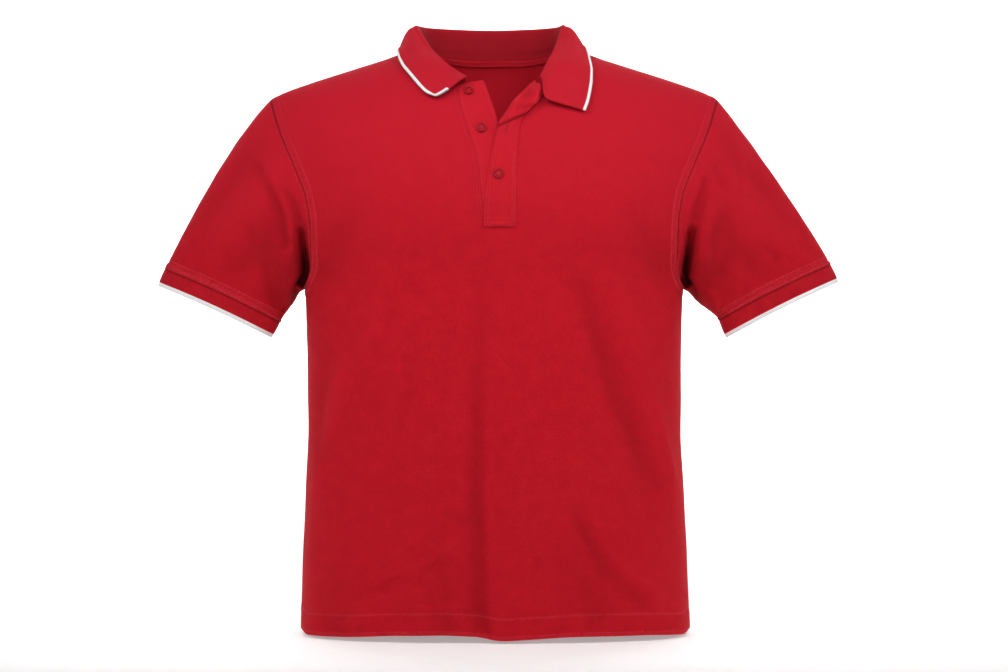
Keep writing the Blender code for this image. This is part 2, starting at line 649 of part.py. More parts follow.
def make_sleeve(side, sign, front, back):
    start_out, start_in = armhole_loop(front, back, sign)
    top = len(ROWS_HIGH)
    share = round_shares(start_out, top)
    (middle, half), (end_middle, end_half) = ring_ends(side)
    axis = unit(end_middle - middle)
    turn = share * 2 * math.pi
    forward = np.array((0.0, -1.0, 0.0))
    finish = middle - half * np.cos(turn)[:, None] + forward * (CUFF_DEPTH * np.sin(turn))[:, None]
    finish = finish - axis * (CUFF_RISE * np.sin(turn) ** 2)[:, None]
    up = 1 - np.abs(2 * share - 1)
    pull_out = sign * curve(SLEEVE_START, 1, up) * SLEEVE_REACH[side]
    pull_fore = -curve(SLEEVE_START, 2, up) * np.sign(0.5 - share)
    pull_down = -curve(SLEEVE_START, 3, up)
    leave = np.stack((pull_out, pull_fore, pull_down), axis=-1)
    arrive = axis * SLEEVE_FINISH[side] * (0.25 + 0.75 * up)[:, None]
    arrive += (finish - start_out) * 0.5 * (1 - up)[:, None]
    rings = []
    for v in SLEEVE_RINGS:
        h0 = 2 * v**3 - 3 * v**2 + 1
        h1 = v**3 - 2 * v**2 + v
        h2 = v**3 - v**2
        rings.append(start_out * h0 + leave * h1 + finish * (1 - h0) + arrive * h2)
    outer = np.array(rings)
    normal = sleeve_normals(outer)
    v = np.array(SLEEVE_RINGS)[:, None]
    height = np.zeros(outer.shape[:2])
    for around, along, wide, long, high in SLEEVE_FOLDS:
        away = np.abs(share[None, :] - around)
        away = np.minimum(away, 1 - away)
        height += high * np.exp(-(away / wide) ** 2 - ((v - along) / long) ** 2)
    height *= np.clip(v / 0.12, 0, 1) * np.clip((1 - v) / 0.15, 0, 1)
    height += SEAM_ROLL * np.where(v > 0.955, 1.0, 0.0)
    outer = outer + normal * height[..., None]
    outer[0] = start_out
    inner = outer - sleeve_normals(outer) * CLOTH
    inner[-3:] = outer[-3:] - normal[-3:] * np.array((CLOTH, CLOTH + SEAM_ROLL, CLOTH + SEAM_ROLL))[:, None, None]
    inner[0] = start_in
    wall("sleeve_" + side, outer, inner, "pique", closed=True)
    return outer[-1], inner[-1], axis, turn, (end_middle, end_half)


def sleeve_normals(points):
    n = grid_normals(points, True)
    centre = points.mean(axis=1, keepdims=True)
    if np.sum(n * (points - centre)) < 0:
        n = -n
    return n


def make_cuff(side, end_outer, end_inner, axis, turn, end):
    """Rib band set a little inside the edge of the sleeve."""
    middle, half = end
    forward = np.array((0.0, -1.0, 0.0))
    inset = 1 - SEAM_ROLL / np.linalg.norm(half)
    last = middle - half * inset * np.cos(turn)[:, None]
    last = last + forward * ((CUFF_DEPTH - SEAM_ROLL) * np.sin(turn))[:, None]
    last = last - axis * (CUFF_RISE * np.sin(turn) ** 2)[:, None]
    first = end_outer * 0.62 + end_inner * 0.38 + axis * SEAM_GAP
    near = first * 0.80 + last * 0.20
    outer = np.array((first, near, first * 0.35 + last * 0.65, last))
    inner = outer - sleeve_normals(outer) * RIB
    wall("cuff_" + side, outer, inner, "rib", closed=True)


def make_under_placket(front_outer):
    """Button stand of the wearer's right, level with the front and set in the slit."""
    low = len(ROWS_LOW) - 1 + SLIT_ROW
    half = NECK_COLUMNS + SHOULDER_COLUMNS
    start = front_outer[low:, half]
    end = front_outer[low:, half + MIDDLE_COLUMNS]
    rows_x, rows_z = [], []
    columns = 4
    for k in range(len(start)):
        x0 = start[k, 0] + SEAM_GAP
        z0 = start[k, 2]
        rise = 0.0045 * max(0.0, k / (len(start) - 1) - 0.6) / 0.4
        x1 = min(float(curve(UNDER_EDGE, 1, z0 + rise)), end[k, 0] - SEAM_GAP)
        slope = (end[k, 2] - z0) / (end[k, 0] - start[k, 0])
        t = np.linspace(0, 1, columns + 1)
        x = x0 + (x1 - x0) * t
        flat = 1 - max(0.0, k / (len(start) - 1) - 0.5) / 0.5
        z = z0 + slope * flat * (x - x0) + rise * t
        if k == 0:
            z = z + SEAM_GAP
        rows_x.append(x)
        rows_z.append(z)
    outer, normal = body_points(np.array(rows_x), np.array(rows_z), "front")
    inner = outer - normal * PLACKET_CLOTH
    neck_rim_turn(outer, inner, range(3), (1.2, 1.2, 1.2))
    wall("placket_under", outer, inner, "placket")
    return outer, inner


def make_top_placket(front_outer):
    """Buttonhole stand of the wearer's left: flat below, rolled open at the neck."""
    rows = (3.94, 4.5, 5.0, 6.0, 7.0, 8.0, 8.6, 9.0, 9.5, 10.0, 10.5, 11.0, 11.5)
    across = np.linspace(0, 1, 7)
    xs, zs, lifts = [], [], []
    for row in rows:
        values = [float(curve(PLACKET_ROLL, c, row)) for c in range(1, 10)]
        ends = ((0.0,) + tuple(values[:3]), (0.5,) + tuple(values[3:6]), (1.0,) + tuple(values[6:]))
        xs.append(bow(ends, 1, across))
        zs.append(bow(ends, 2, across))
        lifts.append(bow(ends, 3, across))
    outer, normal = body_points(np.array(xs), np.array(zs), "front", np.array(lifts))
    way = grid_normals(outer, False)
    if np.sum(way * normal) < 0:
        way = -way
    inner = outer - way * PLACKET_CLOTH
    flat = np.array(lifts) < 0.0031
    inner[flat] = (outer - normal * PLACKET_CLOTH)[flat]
    wall("placket_top", outer, inner, "placket")
    return outer


def bow(points, column, at):
    """Parabola through three points at 0, one half and 1."""
    a, b, c = [p[column] for p in points]
    return a + (4 * b - 3 * a - c) * at + (2 * a + 2 * c - 4 * b) * at**2


def neck_rim(front, back, under):
    """Edges of the neckline from the wearer's right front over the back to the left front."""
    half = NECK_COLUMNS + SHOULDER_COLUMNS
    top = [front[k][-1] for k in (0, 1)]
    below = front[0][-2]
    back_top = [back[k][-1] for k in (0, 1)]
    back_below = back[0][-2]
    right = list(range(half, SHOULDER_COLUMNS - 1, -1))
    left = list(range(half + MIDDLE_COLUMNS + NECK_COLUMNS, half + MIDDLE_COLUMNS, -1))
    lines = []
    for k in (0, 1):
        line = [under[k][-1, 1] * 0.9 + under[k][-1, 2] * 0.1]
        line += [top[k][c] for c in right]
        line[-1] = (line[-1] + back_top[k][SHOULDER_COLUMNS]) / 2
        line += [back_top[k][c] for c in range(SHOULDER_COLUMNS + 1, SHOULDER_COLUMNS + 2 * NECK_COLUMNS)]
        end = (back_top[k][SHOULDER_COLUMNS + 2 * NECK_COLUMNS] + top[k][left[0]]) / 2
        line += [end] + [top[k][c] for c in left[1:]]
        lines.append(np.array(line))
    beyond = [under[0][-1, 1] - under[0][-2, 1]]
    beyond += [top[0][c] - below[c] for c in right]
    beyond += [back_top[0][c] - back_below[c]
               for c in range(SHOULDER_COLUMNS + 1, SHOULDER_COLUMNS + 2 * NECK_COLUMNS + 1)]
    beyond += [top[0][c] - below[c] for c in left[1:]]
    beyond = np.array(beyond)
    beyond[NECK_COLUMNS + 1] = (1.0, 0.0, 0.2)
    beyond[NECK_COLUMNS + 1 + 2 * NECK_COLUMNS] = (-1.0, 0.0, 0.2)
    way = gap_way(lines[0], lines[1], beyond)
    return lines[0] + way * SEAM_GAP, lines[1] + way * SEAM_GAP


def make_collar(front, back, under):
    rim_outer, rim_inner = neck_rim(front, back, under)
    far = np.concatenate(([0], np.cumsum(np.linalg.norm(np.diff(rim_outer, axis=0), axis=1))))
    share = far / far[-1]
    fold = np.stack([curve(COLLAR, c, share) for c in (1, 2, 3)], axis=-1)
    edge = np.stack([curve(COLLAR, c, share) for c in (4, 5, 6)], axis=-1)
    third = fold * 2 / 3 + edge / 3 + np.stack([curve(LEAF_ROLL, c, share) for c in (1, 2, 3)], axis=-1)
    two = fold / 3 + edge * 2 / 3 + np.stack([curve(LEAF_ROLL, c, share) for c in (4, 5, 6)], axis=-1)
    along = unit(np.gradient(fold, axis=0))
    away = fold - np.array(NECK_MIDDLE + (0.0,))
    away[:, 2] = 0
    up = unit(np.cross(along, unit(away)))
    up = up * np.sign(up[:, 2:3])
    out = unit(np.cross(up, along))
    out = out * np.sign(np.sum(out * away, axis=-1, keepdims=True))
    centre = fold - up * FOLD_RADIUS
    rows = [rim_inner]
    start = centre - out * FOLD_RADIUS
    rows.append(rim_inner * 0.45 + start * 0.55)
    for degrees in (180, 120, 60, 0):
        a = math.radians(degrees)
        rows.append(centre + out * (FOLD_RADIUS * math.cos(a)) + up * (FOLD_RADIUS * math.sin(a)))
    leaf = leaf_points(rows[-1], third, two, edge, (0.25, 0.5, 0.75, 1.0))
    rows = rows[:1] + [push_out(row, STAND_CLEAR) for row in rows[1:]]
    over = np.exp(-((share - 0.245) / 0.06) ** 2) + np.exp(-((share - 0.765) / 0.06) ** 2)
    rows += [push_out(row, LEAF_CLEAR + SHOULDER_RISE * over) for row in leaf]
    face = np.array(rows)
    normal = grid_normals(face, False)
    if np.sum(normal[-1] * out) < 0:
        normal = -normal
    hidden = face - normal * RIB
    hidden[0] = rim_outer
    wall("collar", face, hidden, "rib")
    return face


def leaf_points(start, third, two, end, shares):
    """Cubic through the edge of the fold, one third, two thirds and the free edge."""
    rows = []
    for s in shares:
        a = (s - 1 / 3) * (s - 2 / 3) * (s - 1) / (-2 / 9)
        b = s * (s - 2 / 3) * (s - 1) / (2 / 27)
        c = s * (s - 1 / 3) * (s - 1) / (-2 / 27)
        d = s * (s - 1 / 3) * (s - 2 / 3) / (2 / 9)
        rows.append(start * a + third * b + two * c + end * d)
    return rows


def make_tape(back_inner, back_normal):
    """Narrow band inside the back, just below the neck seam."""
    first = SHOULDER_COLUMNS
    last = SHOULDER_COLUMNS + 2 * NECK_COLUMNS + 1
    top = back_inner[-1, first:last]
    below = back_inner[-2, first:last]
    n = back_normal[-1, first:last]
    drop = np.linalg.norm(below - top, axis=-1, keepdims=True)
    shares = [np.minimum(0.96, far / drop) for far in (TAPE_WIDE, TAPE_WIDE / 2, 0.0016)]
    face = np.array([top + (below - top) * share for share in shares])
    ways = np.array([unit(n * (1 - share) + back_normal[-2, first:last] * share) for share in shares])
    outer = face[:, 1:-1] - ways[:, 1:-1] * 0.0005
    inner = outer - ways[:, 1:-1] * TAPE_CLOTH
    wall("neck_tape", outer, inner, "tape")


def make_button(name, x, z, lift):
    """Turned disc with a raised rim and a dished middle, drilled with four holes."""
    p, n = body_points(np.array(x), np.array(z), "front", np.array(lift))
    side = unit(np.cross(n, np.array((0.0, 0.0, 1.0))))
    up = np.cross(side, n)
    verts = []
    for share, height in BUTTON_PROFILE:
        for k in range(BUTTON_SIDES):
            a = 2 * math.pi * k / BUTTON_SIDES
            r = share * BUTTON_RADIUS
            verts.append(tuple(p + side * r * math.cos(a) + up * r * math.sin(a) + n * height))
    faces = [tuple(range(BUTTON_SIDES))[::-1]]
    for k in range(BUTTON_SIDES):
        m = (k + 1) % BUTTON_SIDES
        for ring in range(len(BUTTON_PROFILE) - 1):
            a = ring * BUTTON_SIDES
            b = a + BUTTON_SIDES
            faces.append((a + k, a + m, b + m, b + k))
    faces.append(tuple(range(len(verts) - BUTTON_SIDES, len(verts))))
    button = mesh_object(name, verts, faces, "button")
    drill = make_drill(name, p, n, side, up)
    cut = button.modifiers.new("holes", "BOOLEAN")
    cut.operation = "DIFFERENCE"
    cut.solver = "EXACT"
    cut.object = drill


def make_drill(name, p, n, side, up):
    verts, faces = [], []
    for sx, sz in ((1, 1), (1, -1), (-1, 1), (-1, -1)):
        centre = p + (side * sx + up * sz) * HOLE_OUT / math.sqrt(2)
        first = len(verts)
        for height in (-0.002, 0.005):
            for k in range(HOLE_SIDES):
                a = 2 * math.pi * (k + 0.5) / HOLE_SIDES
                spot = centre + (side * math.cos(a) + up * math.sin(a)) * HOLE_RADIUS
                verts.append(tuple(spot + n * height))
        for k in range(HOLE_SIDES):
            m = (k + 1) % HOLE_SIDES
            a = first + k
            b = first + m
            faces.append((a, b, b + HOLE_SIDES, a + HOLE_SIDES))
        faces.append(tuple(first + k for k in range(HOLE_SIDES))[::-1])
        faces.append(tuple(first + HOLE_SIDES + k for k in range(HOLE_SIDES)))
    mesh = bpy.data.meshes.new("drill_" + name)
    mesh.from_pydata(verts, [], faces)
    bm = bmesh.new()
    bm.from_mesh(mesh)
    bmesh.ops.recalc_face_normals(bm, faces=bm.faces)
    bm.to_mesh(mesh)
    bm.free()
    drill = bpy.data.objects.new("drill_" + name, mesh)
    cutters.objects.link(drill)
    drill.hide_render = True
    drill.display_type = "WIRE"
    return drill


def collection(name):
    made = bpy.data.collections.new(name)
    bpy.context.scene.collection.children.link(made)
    return made


for old in list(bpy.data.objects):
    bpy.data.objects.remove(old, do_unlink=True)
shirt = collection("polo_shirt")
cutters = collection("cutters")

front_layers = make_front()
back_outer, back_inner, back_normal = make_back()
back_layers = (back_outer, back_inner)
for side_name, side_sign in (("left", 1), ("right", -1)):
    end = make_sleeve(side_name, side_sign, front_layers, back_layers)
    make_cuff(side_name, *end)
under_layers = make_under_placket(front_layers[0])
make_top_placket(front_layers[0])
make_collar(front_layers, back_layers, under_layers)
make_tape(back_inner, back_normal)
for row in BUTTONS:
    make_button(*row)
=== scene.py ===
import math

import bmesh
import bpy
import numpy as np
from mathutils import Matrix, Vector


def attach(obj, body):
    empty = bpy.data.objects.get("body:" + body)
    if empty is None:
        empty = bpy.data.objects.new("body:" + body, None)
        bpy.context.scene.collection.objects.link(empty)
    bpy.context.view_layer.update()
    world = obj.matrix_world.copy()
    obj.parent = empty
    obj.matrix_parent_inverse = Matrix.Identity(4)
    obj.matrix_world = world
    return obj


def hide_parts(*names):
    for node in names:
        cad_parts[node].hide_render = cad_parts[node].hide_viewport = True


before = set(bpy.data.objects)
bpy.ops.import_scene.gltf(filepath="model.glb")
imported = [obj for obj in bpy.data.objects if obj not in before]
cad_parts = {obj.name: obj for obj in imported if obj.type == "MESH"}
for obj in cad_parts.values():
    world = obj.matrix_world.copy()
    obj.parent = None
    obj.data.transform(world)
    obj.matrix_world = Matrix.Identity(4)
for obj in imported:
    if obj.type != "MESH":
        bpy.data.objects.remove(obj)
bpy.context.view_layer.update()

# Cloth and joints, in metres
CLOTH = 0.0016
RIB = 0.0020
PLACKET_CLOTH = 0.0020
TAPE_CLOTH = 0.0008
HEM_CLOTH = 0.0026
SEAM_GAP = 0.0003
HEM_STITCH = 0.0252
HEM_CORNER = 0.0055
FOLD_RADIUS = 0.0029
CRUMPLE = 0.0011
# Place across and height of the lower edge of the rolled part of the placket
ROLL_LINE = ((0.0000, -0.1010), (0.0067, -0.0985), (0.0200, -0.0925), (0.0330, -0.0870), (0.0560, -0.0720))
ROLL_HIGH = 0.0012
TAPE_WIDE = 0.0085
TIP_WIDE = 0.0036
# Painted shade: the outermost strip of the tipped edge, this wide, is painted grey for the shade where the
# edge turns under
TIP_EDGE = 0.0005

SIDE_POWER = 2.5
ROLL_POWER = 1.8
ROLL = {"front": 0.20, "back": 0.16}
ARMPIT = -0.286
HEM = -0.696
SHOULDER_TIP = (0.2665, -0.0612)
NECK_SIDE = 0.088
CREST_Y = -0.012
SLIT_SHARE = 0.326

# Lengths in most tables are in tenths of a millimetre
TENTH = 0.0001


def in_metres(rows, plain=0):
    """A table of tenths of a millimetre in metres, apart from its first plain columns."""
    table = np.array(rows, float)
    table[:, plain:] *= TENTH
    return table


# Height, depth to the front, depth to the back, half width on the right, on the left
BODY = in_metres((
    (-6960, 1140, 1120, 2310, 2345), (-6400, 1140, 1110, 2298, 2325), (-5460, 1120, 1070, 2262, 2282),
    (-4400, 1100, 1040, 2224, 2236), (-3600, 1130, 1050, 2236, 2242), (-2860, 1170, 1070, 2262, 2262),
    (-2000, 1180, 1100, 2470, 2470), (-1000, 1140, 1100, 2800, 2800), (0, 1060, 1060, 3030, 3030),
    (600, 1040, 1040, 3130, 3130),
))
# Distance from the middle, height of the crest of the shoulder
CREST_SIDE = in_metres((
    (880, 5), (1297, -131), (1751, -274), (2199, -418), (2582, -562), (2665, -612), (3200, -930),
))
CREST = {
    "front": np.vstack((((0.000, 0.003), (0.060, 0.002)), CREST_SIDE)),
    "back": np.vstack((((0.000, 0.038), (0.040, 0.034), (0.070, 0.017)), CREST_SIDE)),
}
# Height, distance of the armhole seam from the middle
ARMHOLE = in_metres((
    (-2860, 2262), (-2740, 2195), (-2580, 2152), (-2160, 2145), (-1810, 2197), (-1470, 2328), (-1030, 2520),
    (-612, 2665),
))
# Share of the way from the placket to the side of the neck, distance from the middle, height
NECK = {
    "front_right": in_metres((
        (0, 410, -485), (0.25, 550, -395), (0.5, 675, -280), (0.75, 790, -145), (1, 880, 5),
    ), 1),
    "front_left": in_metres((
        (0, 551, -570), (0.25, 660, -480), (0.5, 750, -330), (0.75, 830, -165), (1, 880, 5),
    ), 1),
    "back": in_metres((
        (0, 0, -60), (0.25, 290, -56), (0.5, 560, -40), (0.75, 760, -15), (1, 880, 5),
    ), 1),
}
# Height, place of the edge beside the placket
SLIT_RIGHT = in_metres((
    (-2170, -112), (-2050, -118), (-1720, -143), (-1450, -172), (-1260, -218), (-1000, -306), (-670, -398),
    (-485, -410),
))
SLIT_LEFT = in_metres((
    (-2170, 222), (-1870, 225), (-1580, 232), (-1285, 250), (-990, 278), (-870, 325), (-760, 405),
    (-660, 490), (-570, 551),
))
# Place across, height of the lower edge of the front
HEM_FRONT = in_metres((
    (-2310, -6958), (-1800, -6942), (-1200, -6908), (-600, -6895), (-220, -6910), (100, -6952), (400, -6940),
    (1000, -6912), (1700, -6916), (2345, -6958),
))

# From x, z, to x, z, width, height (below zero for a trough), strength at the start, at the end
FOLDS = {
    "front": (
        (-170, -2350, -210, -7000, 200, -42, 0.15, 1), (140, -3000, 180, -7000, 240, 22, 0.2, 1),
        (-1800, -3700, -2160, -5200, 120, 30, 0.4, 1), (-2000, -3600, -2050, -4800, 120, -40, 0.3, 1),
        (1250, -3300, 1750, -5300, 220, -46, 0.5, 1), (1780, -4000, 2160, -5400, 140, 34, 0.3, 1),
        (-1900, -6000, -1860, -7000, 180, -30, 0.2, 1), (-1180, -5600, -1120, -7000, 200, -32, 0.1, 1),
        (-620, -5600, -550, -7000, 180, -30, 0.1, 1), (850, -6000, 1200, -6600, 180, -26, 0.5, 1),
        (1600, -2000, 1980, -2620, 180, -40, 0.2, 1), (-1650, -1950, -1980, -2620, 180, -40, 0.2, 1),
    ),
    "back": (
        (0, -2500, 80, -7000, 300, -50, 0.1, 1), (950, -3300, 1200, -7000, 280, -48, 0.2, 1),
        (-900, -3000, -1280, -7000, 260, -50, 0.2, 1), (1750, -2600, 2000, -4800, 200, -46, 0.6, 1),
        (-1800, -2500, -1960, -5000, 200, -44, 0.6, 1), (1200, -1500, 1950, -2350, 220, -44, 0.3, 1),
        (-1200, -1600, -1950, -2400, 220, -42, 0.3, 1),
    ),
}
# Width, height, strength at the start, at the end, then x, z of each point of the crease
CREASES = {
    "front": (
        (50, 23, 0.3, 0.8, -1712, -3603, -1822, -3892, -1868, -4205, -1961, -4528, -2100, -5072, -2146,
            -5384, -2169, -6135),
        (85, -27, 0.2, 0.4, -1926, -3754, -2042, -4066, -2053, -4517, -2076, -4979),
        (42, 25, 0.3, 0.6, 1704, -3522, 1819, -3881, 1889, -4216, 1987, -4574, 2079, -4829, 2172, -5256),
        (80, -23, 0.4, 0.5, 1045, -3060, 1230, -3603, 1357, -3904, 1461, -4297, 1565, -4528, 1738, -5141,
            1889, -5569),
        (40, -23, 0.5, 0.8, 2062, -3661, 2155, -3754),
        (50, -27, 0.4, 0.6, -1730, -6563, -1510, -6401, -1244, -6343),
        (45, 19, 0.4, 0.6, -1371, -6563, -1244, -6447, -1152, -6378),
        (50, -23, 0.4, 1, -770, -6401, -689, -6574),
        (85, -34, 0.3, 0.8, 825, -5476, 1074, -5754, 1276, -6193, 1738, -6517),
        (65, -23, 0.4, 0.6, 392, -5892, 578, -6031),
        (400, 26, 1, 1, -2000, -2150, -1300, -1950, -500, -1900, 500, -1900, 1300, -1950, 2000, -2150),
        (360, -34, 1, 1, -2000, -3050, -1000, -2820, 0, -2780, 1000, -2820, 2000, -3050),
        (110, -49, 0.2, 1, -181, -2436, -157, -3245, -192, -4170, -204, -5326, -134, -6771),
        (100, -13, 0.6, 0.6, -1602, -2436, -1082, -2447, -735, -2482),
        (100, -12, 0.6, 0.6, 594, -2447, 1114, -2424, 1692, -2436),
        (130, -40, 0.5, 0.9, 790, -2528, 1114, -3014, 1288, -3650, 1484, -4170, 1715, -4725, 1981, -5152),
        (42, 26, 0.5, 0.9, 1785, -3650, 1923, -4170, 2016, -4632, 2120, -5072),
        (120, 28, 0.6, 0.7, 1230, -2575, 1553, -3014, 1750, -3534),
        (90, 30, 0.8, 0.8, -1313, -2575, -1417, -3361, -1753, -3765, -1938, -4574),
        (60, -14, 0.7, 0.7, -897, -3592, -967, -4031, -1128, -4517),
        (60, 18, 0.8, 0.8, -1117, -3615, -1140, -3881),
        (60, 18, 0.4, 0.9, -60, -3000, -80, -4400, -70, -5600, -20, -6800),
        (40, 26, 0.8, 0.9, -1406, -6135, -1175, -5973, -967, -5788),
        (40, 26, 0.8, 0.9, -1313, -6204, -851, -6089, -446, -5800),
        (40, 28, 0.8, 0.9, -1753, -6551, -1198, -6436, -851, -6366),
        (38, 26, 0.8, 0.9, -1105, -6493, -793, -6563, -412, -6551),
        (45, -22, 0.7, 0.9, -620, -5465, -331, -5580),
        (42, -13, 0.8, 0.8, -1313, -6285, -793, -6193, -620, -6019),
        (40, 22, 0.8, 0.9, 351, -6042, 536, -5927, 640, -6135),
        (55, 30, 0.8, 0.9, 1230, -5846, 1600, -6170, 1946, -6447),
        (80, -28, 0.7, 0.8, 883, -5326, 1114, -5846, 1368, -6158),
    ),
    "back": (
        (60, 27, 0.3, 0.8, 1650, -2900, 1780, -3500, 1860, -4200, 2010, -5000, 2080, -5800),
        (70, -27, 0.3, 0.7, -1540, -3100, -1700, -3700, -1800, -4500, -1930, -5300),
        (80, -23, 0.2, 1, 450, -4300, 520, -5400, 470, -6700),
        (80, 19, 0.2, 1, -420, -4000, -500, -5200, -610, -6700),
        (50, -27, 0.4, 0.6, -1600, -6600, -1400, -6450, -1150, -6380),
        (50, -23, 0.4, 0.8, 1480, -6350, 1620, -6520, 1850, -6600),
        (90, -25, 0.3, 0.5, -900, -1150, -200, -1280, 650, -1170),
        (110, -48, 0.5, 1, -850, -2600, -1100, -3300, -1300, -4200, -1600, -5000),
        (50, 24, 0.5, 0.9, -1780, -3600, -1880, -4200, -2020, -4900),
        (90, 28, 0.7, 0.8, 1350, -2650, 1480, -3400, 1700, -4300),
        (50, -22, 0.7, 0.8, 800, -3700, 930, -4300, 1020, -4700),
        (40, 24, 0.8, 0.9, 500, -6150, 900, -6020, 1250, -5820),
        (40, 24, 0.8, 0.9, 600, -6560, 1150, -6470, 1650, -6530),
        (45, -22, 0.8, 0.8, 400, -6300, 900, -6220, 1200, -6080),
        (50, 24, 0.8, 0.9, -700, -6080, -1150, -6260, -1600, -6500),
        (60, -24, 0.6, 0.6, -1400, -1650, -700, -1750, -200, -1720),
    ),
}

# Side, seam outer x, z, seam inner x, z, end outer x, z, end inner x, z
SLEEVE_ENDS = {
    "left": ((0.4026, -0.2575), (0.2692, -0.3232), (0.4134, -0.2777), (0.2772, -0.3453)),
    "right": ((-0.3936, -0.2626), (-0.2562, -0.3262), (-0.4032, -0.2825), (-0.2658, -0.3452)),
}
SLEEVE_Y = -0.006
CUFF_DEPTH = 0.036
# Share of the way round from the armpit to the shoulder, pull outward, forward, down
SLEEVE_START = (
    (0, 0.03, 0, 0.045), (0.15, 0.045, 0.02, 0.06), (0.35, 0.07, 0.04, 0.08), (0.6, 0.105, 0.035, 0.11),
    (0.8, 0.135, 0.01, 0.135), (1, 0.15, 0, 0.15),
)
SLEEVE_REACH = {"left": 0.84, "right": 0.99}
SLEEVE_FINISH = {"left": 0.09, "right": 0.16}
CUFF_RISE = 0.0030
SEAM_ROLL = 0.0009
# Share round from the armpit over the front, middle of the fold along the arm, width, length, height
SLEEVE_FOLDS = (
    (0.055, 0.18, 0.045, 0.2, -0.0095), (0.945, 0.18, 0.045, 0.2, -0.0045), (0.12, 0.3, 0.05, 0.3, -0.006),
    (0.25, 0.5, 0.035, 0.34, -0.0036), (0.345, 0.42, 0.03, 0.3, 0.003), (0.42, 0.35, 0.03, 0.26, -0.002),
    (0.88, 0.32, 0.05, 0.3, -0.006), (0.74, 0.5, 0.04, 0.36, -0.0038), (0.65, 0.45, 0.03, 0.3, 0.0026),
)
# For each half of the sleeve, rows as in the creases of the body
SLEEVE_CREASES = {
    "right": {
        "front": (
            (75, -65, 0.4, 1, -2900, -1330, -2740, -1520, -2604, -1780, -2528, -2040, -2470, -2360),
            (60, 37, 0.3, 0.8, -2717, -1444, -2528, -1716, -2410, -1988, -2374, -2213),
            (65, -62, 0.3, 1, -2492, -1657, -2339, -1905, -2256, -2177),
            (40, 19, 0.6, 0.5, -3166, -1563, -3237, -1752),
            (60, -22, 0.4, 0.7, -3012, -1752, -2912, -1984, -2850, -2240),
            (120, -47, 0.5, 1, -2700, -2300, -2620, -2700, -2560, -3050),
            (45, -19, 0.4, 0.8, -3450, -2180, -3330, -2420),
        ),
        "back": (
            (90, -68, 0.3, 1, -2880, -1240, -2660, -1560, -2520, -2020, -2440, -2380),
            (70, 37, 0.3, 0.8, -2700, -1360, -2480, -1750, -2370, -2150),
            (100, -40, 0.4, 0.8, -3100, -1700, -2950, -2200, -2820, -2700),
        ),
    },
    "left": {
        "front": (
            (36, 31, 0.4, 0.7, 2910, -1157, 2976, -1326, 3004, -1522, 2985, -1751),
            (70, -53, 0.5, 0.8, 2600, -1380, 2650, -1500, 2697, -1633),
            (60, -59, 0.4, 1, 2496, -1500, 2466, -1752, 2370, -2023),
            (60, 34, 0.3, 0.8, 2579, -1716, 2562, -1983, 2524, -2213),
            (105, -53, 0.3, 0.9, 2813, -1751, 2717, -2059, 2659, -2366, 2638, -2680),
            (42, -25, 0.6, 0.9, 3193, -2343, 3270, -2440, 3347, -2520),
            (36, -22, 0.6, 0.9, 3406, -2444, 3543, -2540), (30, 14, 0.6, 0.6, 3500, -2248, 3583, -2402),
            (60, 28, 0.5, 0.8, 2580, -2886, 2638, -3075),
        ),
        "back": (
            (90, -65, 0.3, 1, 2840, -1280, 2650, -1640, 2500, -2050, 2420, -2400),
            (60, 34, 0.3, 0.8, 3020, -1420, 2900, -1800, 2820, -2250),
            (110, -47, 0.4, 0.9, 3250, -1900, 3100, -2350, 2960, -2850),
        ),
    },
}
# Deep crease where the sleeve meets the side of the body, as x, z
VALLEY = {
    "right": in_metres((
        (-2262, -2120), (-2256, -2330), (-2234, -2462), (-2216, -2639), (-2234, -2840),
    )),
    "left": in_metres((
        (2335, -2080), (2309, -2350), (2268, -2599), (2245, -2840),
    )),
}
VALLEY_WIDE = 0.0066
VALLEY_DEEP = {"front": 0.93, "back": 0.60}
FULL_FOLD = 0.0036
NARROW = 0.019

# Share along the neck seam, fold x, y, z, free edge x, y, z
COLLAR = in_metres((
    (0, -318, -880, -400, -694, -960, -640), (0.05, -440, -780, -320, -790, -915, -595),
    (0.1, -563, -710, -225, -920, -790, -455), (0.145, -665, -600, -120, -1018, -675, -335),
    (0.18, -750, -460, -22, -1081, -570, -252), (0.21, -850, -300, 137, -1121, -435, -165),
    (0.245, -935, -100, 286, -1151, -130, -38), (0.33, -860, 260, 310, -1100, 330, -130),
    (0.42, -570, 530, 316, -660, 640, -170), (0.5, -30, 640, 312, -30, 740, -180),
    (0.58, 510, 530, 316, 620, 640, -170), (0.67, 780, 240, 310, 1040, 330, -120),
    (0.765, 830, -110, 292, 1088, -150, -5), (0.82, 772, -340, 95, 1138, -430, -140),
    (0.86, 712, -530, -60, 1166, -615, -305), (0.9, 648, -660, -180, 1162, -730, -432),
    (0.94, 592, -760, -300, 1141, -830, -559), (0.975, 560, -815, -365, 1115, -910, -683),
    (1, 540, -860, -405, 1072, -990, -806),
), 1)
# Share along the neck seam, then shift x, y, z of the leaf at one third and at two thirds
LEAF_ROLL = in_metres((
    (0, 22, -30, 10, 10, -40, -20), (0.1, 0, -30, 20, 0, -20, 10), (0.25, -30, -10, 40, -20, 0, 20),
    (0.36, -30, 20, 20, -20, 20, 10), (0.5, 0, 30, 10, 0, 20, 0), (0.64, 30, 20, 20, 20, 20, 10),
    (0.76, 30, -10, 40, 20, 0, 20), (0.86, 0, -40, 20, 0, -30, 10), (0.95, -90, -90, -40, -60, -60, -40),
    (1, -152, -120, -122, -120, -70, -52),
), 1)
NECK_MIDDLE = (-0.003, -0.005)
LEAF_CLEAR = 0.0048
CORNER_FROM = 0.965
STAND_CLEAR = 0.0030
# Painted shade on the inner face of the collar stand, where the light does not reach
STAND_PAINTED_SHADE = 0.65
SHOULDER_RISE = 0.0030

